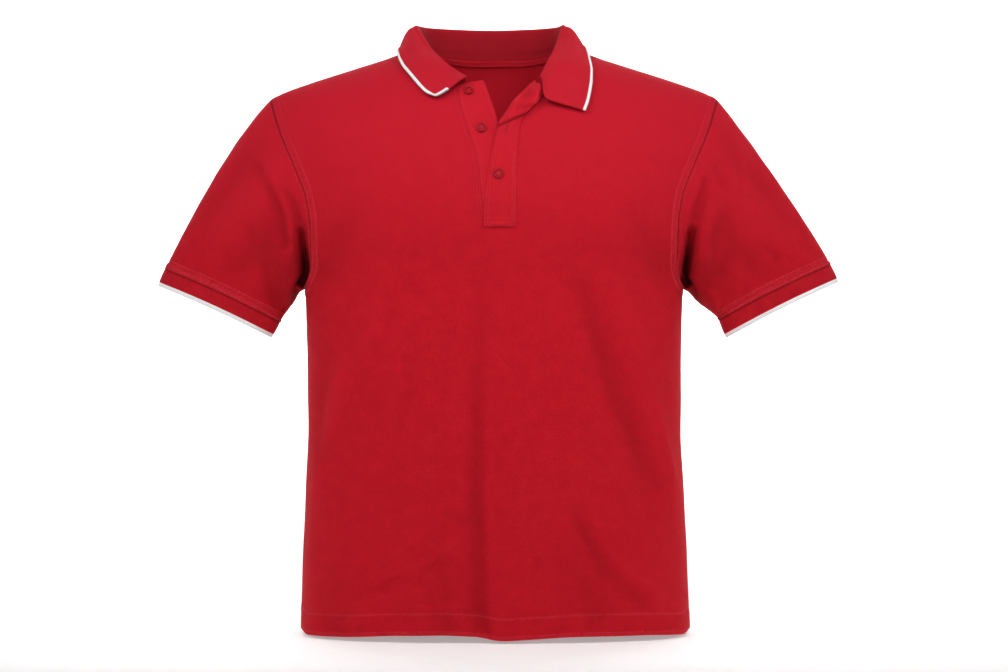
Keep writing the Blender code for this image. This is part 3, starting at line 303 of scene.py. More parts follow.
# Row of the front, free edge x, z, lift, middle x, z, lift, stitched edge x, z, lift
PLACKET_ROLL = in_metres((
    (3.94, -112, -2165, 27, 70, -2165, 27, 252, -2165, 17),
    (5, -94, -1890, 27, 85, -1890, 28, 255, -1890, 17), (6, -74, -1650, 28, 100, -1650, 29, 260, -1655, 17),
    (7, -35, -1420, 32, 125, -1425, 32, 268, -1430, 17), (8, 12, -1180, 45, 150, -1190, 40, 288, -1200, 17),
    (9, 60, -985, 68, 185, -985, 78, 315, -985, 17), (9.5, 137, -882, 85, 260, -880, 105, 360, -885, 28),
    (10, 225, -750, 95, 345, -805, 115, 430, -800, 30), (10.5, 330, -640, 88, 425, -745, 110, 505, -720, 30),
    (11, 415, -550, 75, 490, -660, 92, 555, -660, 30), (11.5, 480, -475, 48, 530, -560, 62, 580, -615, 30),
), 1)
# Height, free edge of the under placket
UNDER_EDGE = in_metres((
    (-2170, 215), (-2050, 214), (-1630, 189), (-1280, 132), (-970, 57), (-800, 13), (-650, -41), (-500, -95),
    (-430, -122),
))
# Buttons: name, x, z, lift of the underside, turn of the holes in degrees
BUTTONS = (
    ("button_1", -0.029, -0.0573, 0.0003, 12), ("button_2", -0.0142, -0.102, 0.0003, -20),
    ("button_3", 0.0058, -0.1568, 0.0032, 6),
)
BUTTON_RADIUS = 0.0062
# Share of the radius, height: from the middle of the underside round to the middle of the top
BUTTON_PROFILE = (
    (0.3, 0), (0.8, 0), (0.93, 0.0004), (0.99, 0.001), (1, 0.0014), (0.98, 0.002), (0.91, 0.0025),
    (0.84, 0.0027), (0.76, 0.0026), (0.68, 0.0021), (0.62, 0.0012), (0.52, 0.0011), (0.46, 0.0015),
    (0.3, 0.0015),
)
# Painted shade: rings of the profile that get the dark button material, round the lower outer side as a
# contact shadow and in the groove as shade
SHADED_RINGS = (2, 3, 4, 5, 9, 10)
BUTTON_SIDES = 48
HOLE_SIDES = 14
HOLE_RADIUS = 0.00075
HOLE_OUT = 0.0014
# Buttonholes: name, x, z, half length
BUTTONHOLES = (
    ("buttonhole_1", 0.0455, -0.0575, 0.0055), ("buttonhole_2", 0.0148, -0.1035, 0.0065),
    ("buttonhole_3", 0.0056, -0.1585, 0.0075),
)
# Heights between which the painted top light grows from none to full: the cloth is painted paler towards the
# shoulders, as if lit from above
TOP_LIGHT_FROM = -0.30
TOP_LIGHT_TO = -0.03

# How fine the grids are
NECK_COLUMNS = 24
SHOULDER_COLUMNS = 46
MIDDLE_COLUMNS = 8
SLEEVE_ROWS = 90
SLIT_ROWS = 34


def curve(table, column, at):
    """Smooth reading of one column of a table, without overshoot between its rows."""
    data = np.array(table, float)
    xs = data[:, 0]
    ys = data[:, column]
    at = np.clip(at, xs[0], xs[-1])
    rise = np.diff(ys) / np.diff(xs)
    slope = np.concatenate(([rise[0]], np.zeros(len(xs) - 2), [rise[-1]]))
    for k in range(1, len(xs) - 1):
        if rise[k - 1] * rise[k] > 0:
            slope[k] = 2 * rise[k - 1] * rise[k] / (rise[k - 1] + rise[k])
    k = np.clip(np.searchsorted(xs, at, side="right") - 1, 0, len(xs) - 2)
    step = xs[k + 1] - xs[k]
    s = (at - xs[k]) / step
    start = (2 * s**3 - 3 * s**2 + 1) * ys[k] + (s**3 - 2 * s**2 + s) * step * slope[k]
    end = (3 * s**2 - 2 * s**3) * ys[k + 1] + (s**3 - s**2) * step * slope[k + 1]
    return start + end


def unit(v):
    return v / np.maximum(np.linalg.norm(v, axis=-1, keepdims=True), 1e-12)


def smooth(a, b, x):
    t = np.clip((x - a) / (b - a), 0, 1)
    return t * t * (3 - 2 * t)


def bell(x, middle, wide):
    """One at the middle, falling softly to zero on both sides."""
    return np.exp(-((x - middle) / wide) ** 2)


def run_length(line):
    """Distance run along a line of points."""
    return np.concatenate(([0], np.cumsum(np.linalg.norm(np.diff(line, axis=0), axis=1))))


def middle_y(z):
    return CREST_Y * np.clip((z - ARMPIT) / 0.226, 0.0, 1.0)


def side_width(x, z):
    """Half width of the body at height z, on the side where x lies."""
    return np.where(np.asarray(x) < 0, curve(BODY, 3, z), curve(BODY, 4, z))


def solid_value(p, side):
    """Below zero inside the body, zero on the outer face of the cloth, above zero outside."""
    x, y, z = p[..., 0], p[..., 1], p[..., 2]
    depth = curve(BODY, 1 if side == "front" else 2, z)
    out = np.abs(x) / side_width(x, z)
    flat = np.maximum(0.0, 1 - out**SIDE_POWER) ** (ROLL_POWER / SIDE_POWER)
    s = np.minimum(1.0, (curve(CREST[side], 1, np.abs(x)) - z) / ROLL[side])
    return (np.abs(y - middle_y(z)) / depth) ** ROLL_POWER - flat * (1 - (1 - s) ** ROLL_POWER)


def gradient(p, side):
    step = 0.0004
    parts = []
    for axis in range(3):
        move = np.zeros(3)
        move[axis] = step
        parts.append((solid_value(p + move, side) - solid_value(p - move, side)) / (2 * step))
    return np.stack(parts, axis=-1)


def segment(x, z, x0, z0, x1, z1):
    """Share of the way along a straight line, and the square of the distance from it."""
    wide, high = x1 - x0, z1 - z0
    t = np.clip(((x - x0) * wide + (z - z0) * high) / (wide**2 + high**2), 0, 1)
    return t, (x - x0 - t * wide) ** 2 + (z - z0 - t * high) ** 2


def crease(x, z, width, height, start, end, *points):
    """Height of one soft crease along a line of points, which dies out at both ends."""
    points = np.array(points, float).reshape(-1, 2)
    far = run_length(points)
    best = np.full(np.shape(x), 1e9)
    along = np.zeros(np.shape(x))
    for k in range(len(points) - 1):
        t, away = segment(x, z, *points[k], *points[k + 1])
        near = away < best
        best = np.where(near, away, best)
        along = np.where(near, far[k] + t * (far[k + 1] - far[k]), along)
    share = along / far[-1]
    strength = (start + (end - start) * share) * np.clip(share / 0.15, 0.15, 1)
    return height * strength * np.exp(-best / width**2)


def crease_sum(x, z, rows, widest=1.0):
    """Height of all creases of a table up to a width."""
    x, z = x / TENTH, z / TENTH
    total = np.zeros(np.shape(x))
    for row in rows:
        if row[0] * TENTH <= widest:
            total = total + crease(x, z, *row)
    return total * TENTH


def fold_height(x, z, side, widest=1.0):
    """Height of the soft folds, which die out at the side seams and the shoulder seams."""
    total = crease_sum(x, z, CREASES[side], widest)
    for *ends, width, height, start, end in FOLDS[side]:
        if width * TENTH <= widest:
            t, away = segment(x / TENTH, z / TENTH, *ends)
            total = total + height * TENTH * (start + (end - start) * t) * np.exp(-away / width**2)
    side_fade = 1 - (np.abs(x) / side_width(x, z)) ** 10
    drop = np.clip((curve(CREST[side], 1, np.abs(x)) - z) / 0.05, 0, 1)
    return total * np.clip(side_fade, 0, 1) * drop


def body_points(x, z, side, lift=0.0):
    """Points on the body cloth at x, z and the way out of the cloth there."""
    x, z = np.broadcast_arrays(np.asarray(x, float), np.asarray(z, float))
    out = np.minimum(1.0, np.abs(x) / side_width(x, z))
    flat = (1 - out**SIDE_POWER) ** (1 / SIDE_POWER)
    s = np.clip((curve(CREST[side], 1, np.abs(x)) - z) / ROLL[side], 0, 1)
    roll = (1 - (1 - s) ** ROLL_POWER) ** (1 / ROLL_POWER)
    depth = curve(BODY, 1 if side == "front" else 2, z)
    sign = -1.0 if side == "front" else 1.0
    p = np.stack((x, middle_y(z) + sign * depth * flat * roll, z), axis=-1)
    n = unit(gradient(p, side))
    height = fold_height(x, z, side) + lift
    p = p + n * height[..., None]
    return p, n


def push_out(p, clear):
    """Move points that lie nearer to the body than the clearance."""
    p = p.copy()
    for _ in range(3):
        for side, sign in (("front", -1.0), ("back", 1.0)):
            mine = (p[..., 1] - middle_y(p[..., 2])) * sign >= 0
            g = gradient(p, side)
            size = np.linalg.norm(g, axis=-1)
            away = solid_value(p, side) / size
            need = np.where(mine & (away < clear), clear - away, 0.0)
            p += unit(g) * need[..., None]
    return p


def grid_normals(points, closed=False):
    """Way out of a grid of points, rows by columns."""
    if closed:
        wide = np.concatenate((points[:, -1:], points, points[:, :1]), axis=1)
        across = wide[:, 2:] - wide[:, :-2]
    else:
        across = np.gradient(points, axis=1)
    along = np.gradient(points, axis=0)
    return unit(np.cross(along, across))


def line_distance(points, line):
    """Distance of each point from a line of points."""
    flat = points.reshape(-1, 3)
    best = np.full(len(flat), 1e9)
    for a, b in zip(line[:-1], line[1:]):
        d = b - a
        t = np.clip((flat - a) @ d / max(d @ d, 1e-18), 0, 1)
        best = np.minimum(best, np.linalg.norm(flat - a - t[:, None] * d, axis=1))
    return best.reshape(points.shape[:-1])


def lengths(points, axis):
    """Distance run along each row or column of a grid."""
    step = np.linalg.norm(np.diff(points, axis=axis), axis=-1)
    start = np.zeros_like(np.take(step, [0], axis=axis))
    return np.concatenate((start, np.cumsum(step, axis=axis)), axis=axis)


def show(name, data):
    """New object in the scene."""
    obj = bpy.data.objects.new(name, data)
    bpy.context.scene.collection.objects.link(obj)
    return obj


def new_mesh(name, verts, faces):
    mesh = bpy.data.meshes.new(name)
    mesh.from_pydata(verts, [], faces)
    return mesh


def circle(centre, side, up, radius, sides):
    """Points round a centre."""
    turns = [2 * math.pi * k / sides for k in range(sides)]
    return [tuple(centre + (side * math.cos(a) + up * math.sin(a)) * radius) for a in turns]


def tube(first, rings, sides):
    """Faces between rings of points that follow one another."""
    faces = []
    for a in range(first, first + (rings - 1) * sides, sides):
        for k in range(sides):
            m = (k + 1) % sides
            faces.append((a + k, a + m, a + sides + m, a + sides + k))
    return faces


def caps(first, rings, sides):
    """Faces that close the first and the last ring."""
    last = first + (rings - 1) * sides
    return [tuple(range(first, first + sides))[::-1], tuple(range(last, last + sides))]


def shell(name, outer, inner, stuffs, closed=False, keep=None, seam=None, ditch=None, fold=None):
    """Closed cloth wall between two grids of points, with its weave laid out in metres."""
    rows, cols = outer.shape[:2]
    cells = cols if closed else cols - 1
    keep = np.ones((rows - 1, cells), bool) if keep is None else keep
    size = rows * cols
    r, c = np.nonzero(keep)
    d = (c + 1) % cols
    quads = np.stack((r * cols + c, r * cols + d, (r + 1) * cols + d, (r + 1) * cols + c), axis=1)
    places = np.stack((r, c, r, c + 1, r + 1, c + 1, r + 1, c), axis=1).reshape(-1, 4, 2)
    faces = [quads, quads[:, ::-1] + size]
    spots = [places, places[:, ::-1]]
    which = [np.zeros(len(quads), int), np.ones(len(quads), int)]
    padded = np.zeros((rows + 1, cells + 2), bool)
    padded[1:-1, 1:-1] = keep
    if closed:
        padded[:, 0] = padded[:, -2]
        padded[:, -1] = padded[:, 1]
    for k, (dr, dc) in enumerate(((-1, 0), (0, 1), (1, 0), (0, -1))):
        free = ~padded[r + 1 + dr, c + 1 + dc]
        a, b = quads[free, k], quads[free, (k + 1) % 4]
        faces.append(np.stack((b, a, a + size, b + size), axis=1))
        pa, pb = places[free, k], places[free, (k + 1) % 4]
        spots.append(np.stack((pb, pa, pa, pb), axis=1))
        which.append(np.zeros(len(a), int))
    faces = np.concatenate(faces)
    spots = np.concatenate(spots)
    which = np.concatenate(which)
    points = np.concatenate((outer.reshape(-1, 3), inner.reshape(-1, 3)))
    used = np.unique(faces)
    renumber = np.zeros(len(points), int)
    renumber[used] = np.arange(len(used))
    mesh = new_mesh(name, points[used].tolist(), renumber[faces].tolist())
    u = lengths(np.concatenate((outer, outer[:, :1]), axis=1) if closed else outer, 1)
    u = u - u[:, u.shape[1] // 2: u.shape[1] // 2 + 1]
    v = np.broadcast_to(lengths(outer, 0).mean(axis=1)[:, None], u.shape)
    uv = np.stack((u, v), axis=-1)
    layer = mesh.uv_layers.new(name="UVMap")
    layer.data.foreach_set("uv", uv[spots[..., 0], spots[..., 1]].reshape(-1))
    # Painted top light: a value that makes the cloth colour paler towards the shoulders, where light from
    # above falls
    painted_top_light = smooth(TOP_LIGHT_FROM, TOP_LIGHT_TO, outer[..., 2])
    for label, grid in (("seam", seam), ("ditch", ditch), ("fold", fold), ("painted_top_light", painted_top_light)):
        if grid is not None:
            value = np.concatenate((grid.reshape(-1), grid.reshape(-1)))[used]
            mesh.attributes.new(label, "FLOAT", "POINT").data.foreach_set("value", value)
    mesh.polygons.foreach_set("material_index", which)
    obj = finish_mesh(name, mesh, stuffs)
    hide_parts(name)
    return obj


def finish_mesh(name, mesh, stuffs, sharp=55):
    bm = bmesh.new()
    bm.from_mesh(mesh)
    bmesh.ops.recalc_face_normals(bm, faces=bm.faces)
    if bm.calc_volume(signed=True) < 0:
        bmesh.ops.reverse_faces(bm, faces=bm.faces)
    bm.to_mesh(mesh)
    bm.free()
    for stuff in stuffs:
        mesh.materials.append(stuff)
    mesh.polygons.foreach_set("use_smooth", [True] * len(mesh.polygons))
    mesh.set_sharp_from_angle(angle=math.radians(sharp))
    obj = show(name, mesh)
    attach(obj, "root")
    return obj


BEAD_SIDES = 6
BEAD_LOOK = 0.0008
# Share of the length, share of the radius, lift as a share of the radius
BEAD_PROFILE = ((-0.5, 0.25, -0.25), (-0.38, 0.85, 0.25), (0.38, 0.85, 0.25), (0.5, 0.25, -0.25))


def beads(name, lines, stuff, slot, pitch=0.0030, length=0.0022, radius=0.00032):
    """Rows of stitches: each line is points and the way out, and each stitch a small bead half sunk."""
    verts, faces = [], []
    for points, normals in lines:
        far = run_length(points)
        count = max(1, int(far[-1] / pitch))
        at = (np.arange(count) + 0.5) * far[-1] / count
        spot = resample(points, far, at)
        way = unit(resample(points, far, at + BEAD_LOOK) - resample(points, far, at - BEAD_LOOK))
        side = unit(np.cross(way, unit(resample(normals, far, at))))
        out = np.cross(side, way)
        for k in range(count):
            first = len(verts)
            for step, wide, sink in BEAD_PROFILE:
                centre = spot[k] + way[k] * step * length + out[k] * radius * sink
                verts += circle(centre, side[k], out[k], radius * wide, BEAD_SIDES)
            faces += tube(first, len(BEAD_PROFILE), BEAD_SIDES) + caps(first, len(BEAD_PROFILE), BEAD_SIDES)
    obj = finish_mesh(name, new_mesh(name, verts, faces), [stuff], 80)


# Materials

def give(tree, node, inputs):
    """Link a socket, or set a plain value, on each input named."""
    for key, value in inputs.items():
        if isinstance(value, bpy.types.NodeSocket):
            tree.links.new(value, node.inputs[key])
        else:
            node.inputs[key].default_value = value


def add(tree, kind, inputs=None, out=0, **settings):
    made = tree.nodes.new("ShaderNode" + kind)
    for key, value in settings.items():
        setattr(made, key, value)
    give(tree, made, inputs or {})
    return made.outputs[out]


def new_material(name):
    material = bpy.data.materials.new(name)
    material.use_nodes = True
    return material, material.node_tree, material.node_tree.nodes["Principled BSDF"]


def tint(colour, scale, plus=0.0):
    """A colour made paler or darker, with its alpha."""
    return tuple(np.minimum(1.0, np.array(colour) * scale + plus).tolist()) + (1.0,)


def noise(tree, scale, detail=2.0, **more):
    place = add(tree, "TexCoord", out=3)
    return add(tree, "TexNoise", {"Vector": place, "Scale": scale, "Detail": detail, **more})


def read(tree, label):
    """A value written on the points of a mesh."""
    return add(tree, "Attribute", out=2, attribute_name=label)


def maths(tree, what, a, b=0.0, c=0.0, clamp=False):
    return add(tree, "Math", {0: a, 1: b, 2: c}, operation=what, use_clamp=clamp)


def mixed(tree, factor, a, b, blend="MIX"):
    return add(tree, "Mix", {0: factor, 6: a, 7: b}, out=2, data_type="RGBA", blend_type=blend)


def weave_waves(tree, u, v, pitch):
    """Two crossing diagonal waves: small raised cells round sunk points, as pique has."""
    k = math.pi / pitch
    a = maths(tree, "SINE", times(tree, maths(tree, "ADD", u, v), k))
    b = maths(tree, "SINE", times(tree, minus(tree, u, v), k))
    return minus(tree, 1.0, maths(tree, "ABSOLUTE", times(tree, a, b)))


def rib_waves(tree, u, v, pitch):
    wave = maths(tree, "SINE", times(tree, u, 2 * math.pi / pitch))
    knit = maths(tree, "SINE", times(tree, v, 2 * math.pi / (pitch * 0.55)))
    return maths(tree, "ADD", times(tree, wave, 0.5), times(tree, knit, 0.16))


def jersey_waves(tree, u, v, pitch):
    row = maths(tree, "SINE", times(tree, v, 2 * math.pi / pitch))
    half = maths(tree, "SINE", times(tree, u, 2 * math.pi / (pitch * 1.3)))
    return times(tree, maths(tree, "ADD", row, times(tree, half, 0.6)), 0.4)


def herring_waves(tree, u, v, pitch):
    zig = maths(tree, "PINGPONG", v, 0.002)
    return maths(tree, "SINE", times(tree, maths(tree, "ADD", u, zig), 2 * math.pi / pitch))


# How strongly each thing changes the colour of the cloth. The wash and speck keys are uneven dye; the others
# paint light and shade: darker in the weave pits, paler towards the top, paler on fold ridges, darker in fold
# troughs and in shaded ditches and hollows
DYE_AND_PAINTED_LIGHT = {"wash": 0.9, "speck": 0.9, "weave": 0.30, "painted_top_light": 0.8, "ridge": 0.28, "trough": 0.25, "ditch": 0.75}


def times(tree, a, b, clamp=False):
    return maths(tree, "MULTIPLY", a, b, clamp=clamp)


def minus(tree, a, b, clamp=False):
    return maths(tree, "SUBTRACT", a, b, clamp=clamp)


def seam_lines(tree, rows):
    """One at the middle of each worn line beside a seam, down to zero at its edge."""
    near = read(tree, "seam")
    total = None
    for at, wide, strength in rows:
        off = maths(tree, "DIVIDE", minus(tree, near, at), wide)
        line = times(tree, minus(tree, 1.0, maths(tree, "ABSOLUTE", off), clamp=True), strength)
        total = line if total is None else maths(tree, "MAXIMUM", total, line)
    return total


def cloth(name, colour, waves, pitch, depth, sheen=0.06, seam=(), tip=None):
    """Dyed cotton: weave relief, fibre fuzz, uneven dye from the wash, paler lines of wear beside the seams,
    with painted light and shade: paler towards the top and on fold ridges, darker in weave pits, fold troughs
    and shaded hollows.
    """
    material, tree, shader = new_material(name)
    parts = tree.nodes.new("ShaderNodeSeparateXYZ")
    tree.links.new(add(tree, "UVMap"), parts.inputs[0])
    height = waves(tree, parts.outputs[0], parts.outputs[1], pitch)
    fuzz = noise(tree, 2600.0)
    wash = noise(tree, 70.0, 4.0, Roughness=0.65)
    fleck = noise(tree, 420.0)
    spread = maths(tree, "MULTIPLY_ADD", minus(tree, wash, 0.5), DYE_AND_PAINTED_LIGHT["wash"], 0.5, clamp=True)
    speck = times(tree, minus(tree, fleck, 0.5), DYE_AND_PAINTED_LIGHT["speck"])
    # Painted shade in the weave: the colour goes darker where the weave relief sinks
    relief = times(tree, minus(tree, height, 0.5), DYE_AND_PAINTED_LIGHT["weave"])
    factor = maths(tree, "ADD", spread, maths(tree, "ADD", speck, relief), clamp=True)
    shade = mixed(tree, factor, tint(colour, 0.80), tint(colour, 1.16, 0.004))
    if seam:
        break_up = maths(tree, "MULTIPLY_ADD", fleck, 1.6, -0.35, clamp=True)
        pale = tint(colour, (1.4, 1.5, 1.5), (0.02, 0.045, 0.055))
        shade = mixed(tree, times(tree, seam_lines(tree, seam), break_up, clamp=True), shade, pale)
    # Painted light: a paler copy of the colour, mixed in towards the top of the shirt
    painted_top_light_colour = tint(colour, (1.13, 1, 1), (0, 0.0065, 0.0125))
    # Painted light and shade: a paler copy for fold ridges, and a dark copy for fold troughs, seam ditches
    # and other shaded hollows
    painted_ridge_light = tint(colour, (1.22, 1, 1), (0, 0.008, 0.012))
    painted_shade_colour = tint(colour, 0.25)
    fold = read(tree, "fold")
    shade = mixed(tree, times(tree, read(tree, "painted_top_light"), DYE_AND_PAINTED_LIGHT["painted_top_light"]), shade, painted_top_light_colour)
    # Painted highlight on fold ridges, painted shade in fold troughs
    shade = mixed(tree, times(tree, fold, DYE_AND_PAINTED_LIGHT["ridge"], clamp=True), shade, painted_ridge_light)
    shade = mixed(tree, times(tree, fold, -DYE_AND_PAINTED_LIGHT["trough"], clamp=True), shade, painted_shade_colour)
    # Painted shade in seam ditches, the valley under the arm, the collar stand and under the placket roll
    shade = mixed(tree, times(tree, read(tree, "ditch"), DYE_AND_PAINTED_LIGHT["ditch"], clamp=True), shade, painted_shade_colour)
    if tip:
        near = read(tree, "tip")
        pale = mixed(tree, factor, (0.80, 0.78, 0.79, 1), (0.96, 0.94, 0.94, 1))
        # Painted shade: grey on the very edge of the tipping
        pale = mixed(tree, maths(tree, "LESS_THAN", near, TIP_EDGE), pale, (0.42, 0.40, 0.42, 1))
        shade = mixed(tree, maths(tree, "LESS_THAN", near, TIP_WIDE), shade, pale)
    relief = maths(tree, "ADD", height, times(tree, fuzz, 0.35))
    give(tree, shader, {
        "Base Color": shade, "Roughness": maths(tree, "MULTIPLY_ADD", fuzz, 0.20, 0.74),
        "Specular IOR Level": 0.08, "Sheen Weight": sheen, "Sheen Roughness": 0.55,
        "Sheen Tint": tint(colour, 1.2, 0.10),
        "Normal": add(tree, "Bump", {"Height": relief, "Distance": depth, "Strength": 0.8})})
    return material


def thread(name, colour):
    material, tree, shader = new_material(name)
    twist = noise(tree, 1800.0)
    light = tint(colour, 1.2, 0.01)
    give(tree, shader, {
        "Base Color": mixed(tree, twist, tint(colour, 0.8), light), "Roughness": 0.6,
        "Specular IOR Level": 0.2, "Sheen Weight": 0.06, "Sheen Tint": light,
        "Normal": add(tree, "Bump", {"Height": twist, "Distance": 0.0001, "Strength": 0.6})})
    return material


def button_stuff(name, low, high):
    """Dyed polyester button: faint swirl in the colour, satin polish."""
    material, tree, shader = new_material(name)
    fine = noise(tree, 1500.0)
    give(tree, shader, {
        "Base Color": mixed(tree, noise(tree, 160.0, 3.0, Distortion=1.5), low, high),
        "Roughness": maths(tree, "MULTIPLY_ADD", fine, 0.16, 0.42), "Specular IOR Level": 0.15,
        "Normal": add(tree, "Bump", {"Height": fine, "Distance": 0.00003, "Strength": 0.4})})
    return material


RED = (0.465, 0.0036, 0.0122)
SEAM_LINES = ((0.0, 0.0018, 0.9), (0.0026, 0.0014, 0.8), (0.0098, 0.0015, 1.0), (0.0056, 0.0052, 0.35))
PIQUE = cloth("pique", RED, weave_waves, 0.00115, 0.00016, seam=SEAM_LINES)
INSIDE = cloth("pique_inside", (0.60, 0.0062, 0.0170), jersey_waves, 0.00085, 0.00010, sheen=0.05)
RIB_STUFF = cloth("rib", (0.47, 0.0060, 0.0150), rib_waves, 0.00145, 0.00022, sheen=0.10, tip=True)
PLACKET = cloth("placket", (0.48, 0.0044, 0.0130), weave_waves, 0.00115, 0.00014,
                seam=((0.0, 0.0014, 0.8), (0.0040, 0.0010, 0.5)))
TAPE = cloth("tape", (0.74, 0.0120, 0.0300), herring_waves, 0.0011, 0.00016)
THREAD = thread("thread", (0.54, 0.016, 0.034))
# Painted shade: a dark thread colour laid along each buttonhole, standing in for the shaded opening of the
# slit
SLIT_SHADE = thread("slit", (0.30, 0.004, 0.010))
BUTTON = button_stuff("button", (0.38, 0.004, 0.011, 1), (0.48, 0.007, 0.017, 1))
# Painted shade: a dark copy of the button material, for the shade in its groove and round its foot
BUTTON_SHADE = button_stuff("button_painted_shade", (0.15, 0.002, 0.006, 1), (0.20, 0.003, 0.008, 1))


# Grids of the panels

def top_line(part, sign):
    """Neckline then shoulder seam from the middle out, as x and height."""
    share = np.linspace(0, 1, NECK_COLUMNS + 1)
    neck_x = sign * curve(NECK[part], 1, share)
    neck_z = curve(NECK[part], 2, share)
    s = np.linspace(0, 1, SHOULDER_COLUMNS + 1)[1:]
    s = s + 0.06 * np.sin(math.pi * s)
    x = NECK_SIDE + (SHOULDER_TIP[0] - NECK_SIDE) * s
    z = curve(CREST_SIDE, 1, x)
    return np.concatenate((neck_x, sign * x)), np.concatenate((neck_z, z))


def panel_rows():
    low = np.concatenate((np.linspace(HEM, HEM + 0.032, 13)[:-1], np.linspace(HEM + 0.032, ARMPIT, 100)))
    near = SLIT_SHARE * np.linspace(0, 1, SLIT_ROWS + 1) ** 1.5
    high = np.concatenate((near[1:], np.linspace(SLIT_SHARE, 1, 55)[1:]))
    return low, high


def even_spread(columns):
    """Shares of the half width at even steps round the section of the body."""
    t = np.linspace(0, math.pi / 2, 2001)
    x = np.sin(t) ** (2 / SIDE_POWER)
    y = 0.5 * np.cos(t) ** (2 / SIDE_POWER)
    far = np.concatenate(([0], np.cumsum(np.hypot(np.diff(x), np.diff(y)))))
    return np.interp(np.linspace(0, far[-1], columns + 1), far, x)


def half_panel(part, sign, slit):
    """Grid of x and z of half a panel, from the middle or the slit out to the side and the armhole."""
    columns = NECK_COLUMNS + SHOULDER_COLUMNS
    top_x, top_z = top_line(part, sign)
    spread = even_spread(columns)
    low, high = panel_rows()
    xs, zs = [], []
    for z in low:
        start = slit(z)
        end = sign * side_width(sign, z)
        xs.append(start + spread * (end - start))
        zs.append(np.full(columns + 1, z))
    share_top = (top_x - top_x[0]) / (top_x[-1] - top_x[0])
    for w in high:
        z = ARMPIT + (top_z - ARMPIT) * w
        start = slit(z[0]) if w < 1 else top_x[0]
        end = sign * curve(ARMHOLE, 1, z[-1])
        mix = w**4
        share = (1 - mix) * spread + mix * share_top
        xs.append(start + share * (end - start))
        zs.append(z)
    return np.array(xs), np.array(zs), len(low) - 1


# Height of each small relief of the cloth, and distances from a seam between which its raised band ends
RELIEF = {"band": 0.00055, "dip": 0.0003, "pucker": 0.00022, "hem": 0.0003, "stitch": 0.0003, "drag": 0.00028,
          "waves": 0.00032, "ripple": 0.00022, "gather": 0.00018, "ditch": 0.0006}
ARMHOLE_BAND = (0.0085, 0.0115)
SHOULDER_BAND = (0.0065, 0.0090)
SHOULDER_BAND_SHARE = 0.7


def seam_apart(p, side, z):
    half = SEAM_GAP / 2
    if side == "front":
        p[..., 1] = np.minimum(p[..., 1], middle_y(z) - half)
    else:
        p[..., 1] = np.maximum(p[..., 1], middle_y(z) + half)
    return p


def panel(name, xs, zs, side, low, keep=None):
    """Outer and inner face of a panel, with raised seam bands, then its shell."""
    corner = smooth(0.95, 1.0, np.abs(xs) / side_width(xs, zs)) * smooth(HEM + 0.05, HEM, zs)
    zs = zs + HEM_CORNER * corner
    outer, normal = body_points(xs, zs, side)
    armhole = np.minimum(line_distance(outer, outer[low:, 0]), line_distance(outer, outer[low:, -1]))
    hem = lengths(outer, 0)
    shoulder = line_distance(outer, outer[-1, :SHOULDER_COLUMNS + 1])
    shoulder = np.minimum(shoulder, line_distance(outer, outer[-1, -SHOULDER_COLUMNS - 1:]))
    band = 1 - smooth(*ARMHOLE_BAND, armhole)
    band = np.maximum(band, SHOULDER_BAND_SHARE * (1 - smooth(*SHOULDER_BAND, shoulder)))
    pucker = np.sin(xs * 410 + 3 * np.sin(zs * 60)) * np.sin(zs * 390 + 2 * np.sin(xs * 70))
    near = np.clip(bell(armhole, 0, 0.02) + bell(hem, HEM_STITCH, 0.012), 0, 1)
    drag = np.sin(xs * 330 + 2.5 * np.sin(xs * 47)) * bell(hem, HEM_STITCH, 0.009)
    waves = np.sin(xs * 61 + 1.3) * np.sin(zs * 43 + 0.4) + 0.6 * np.sin(xs * 97 - zs * 71)
    waves = waves * smooth(0.0, 0.05, armhole) * smooth(0.0, 0.04, shoulder)
    height = RELIEF["band"] * band - RELIEF["dip"] * bell(armhole, 0.0112, 0.0022)
    height += RELIEF["pucker"] * pucker * near
    height += RELIEF["hem"] * smooth(HEM_STITCH + 0.003, HEM_STITCH - 0.003, hem)
    height += RELIEF["drag"] * drag + RELIEF["waves"] * waves
    height -= RELIEF["stitch"] * bell(hem, HEM_STITCH, 0.0020)
    outer = seam_apart(outer + normal * height[..., None], side, zs)
    thick = CLOTH + (HEM_CLOTH - CLOTH) * smooth(HEM_STITCH + 0.001, HEM_STITCH - 0.001, hem)
    inner = seam_apart(outer - normal * thick[..., None], side, zs)
    seam = np.minimum(armhole, shoulder + 0.0012)
    at_hem = np.abs(hem - HEM_STITCH)
    seam = np.minimum(seam, np.where(at_hem < 0.0022, at_hem, 1.0))
    seam = np.minimum(seam, hem * 2.0 + 0.0008)
    # Painted shade along the armhole seam
    ditch = 1 - smooth(0.0, 0.0009, armhole)
    # Painted light and shade: the fold heights, read back as colour, make ridges paler and troughs darker
    fold = np.clip(fold_height(xs, zs, side, NARROW) / FULL_FOLD, -1, 1)
    shell(name, outer, inner, (PIQUE, INSIDE), keep=keep, seam=seam, ditch=ditch, fold=fold)
    return {"outer": outer, "inner": inner, "normal": normal, "low": low, "armhole": armhole,
            "hem": hem, "shoulder": shoulder}


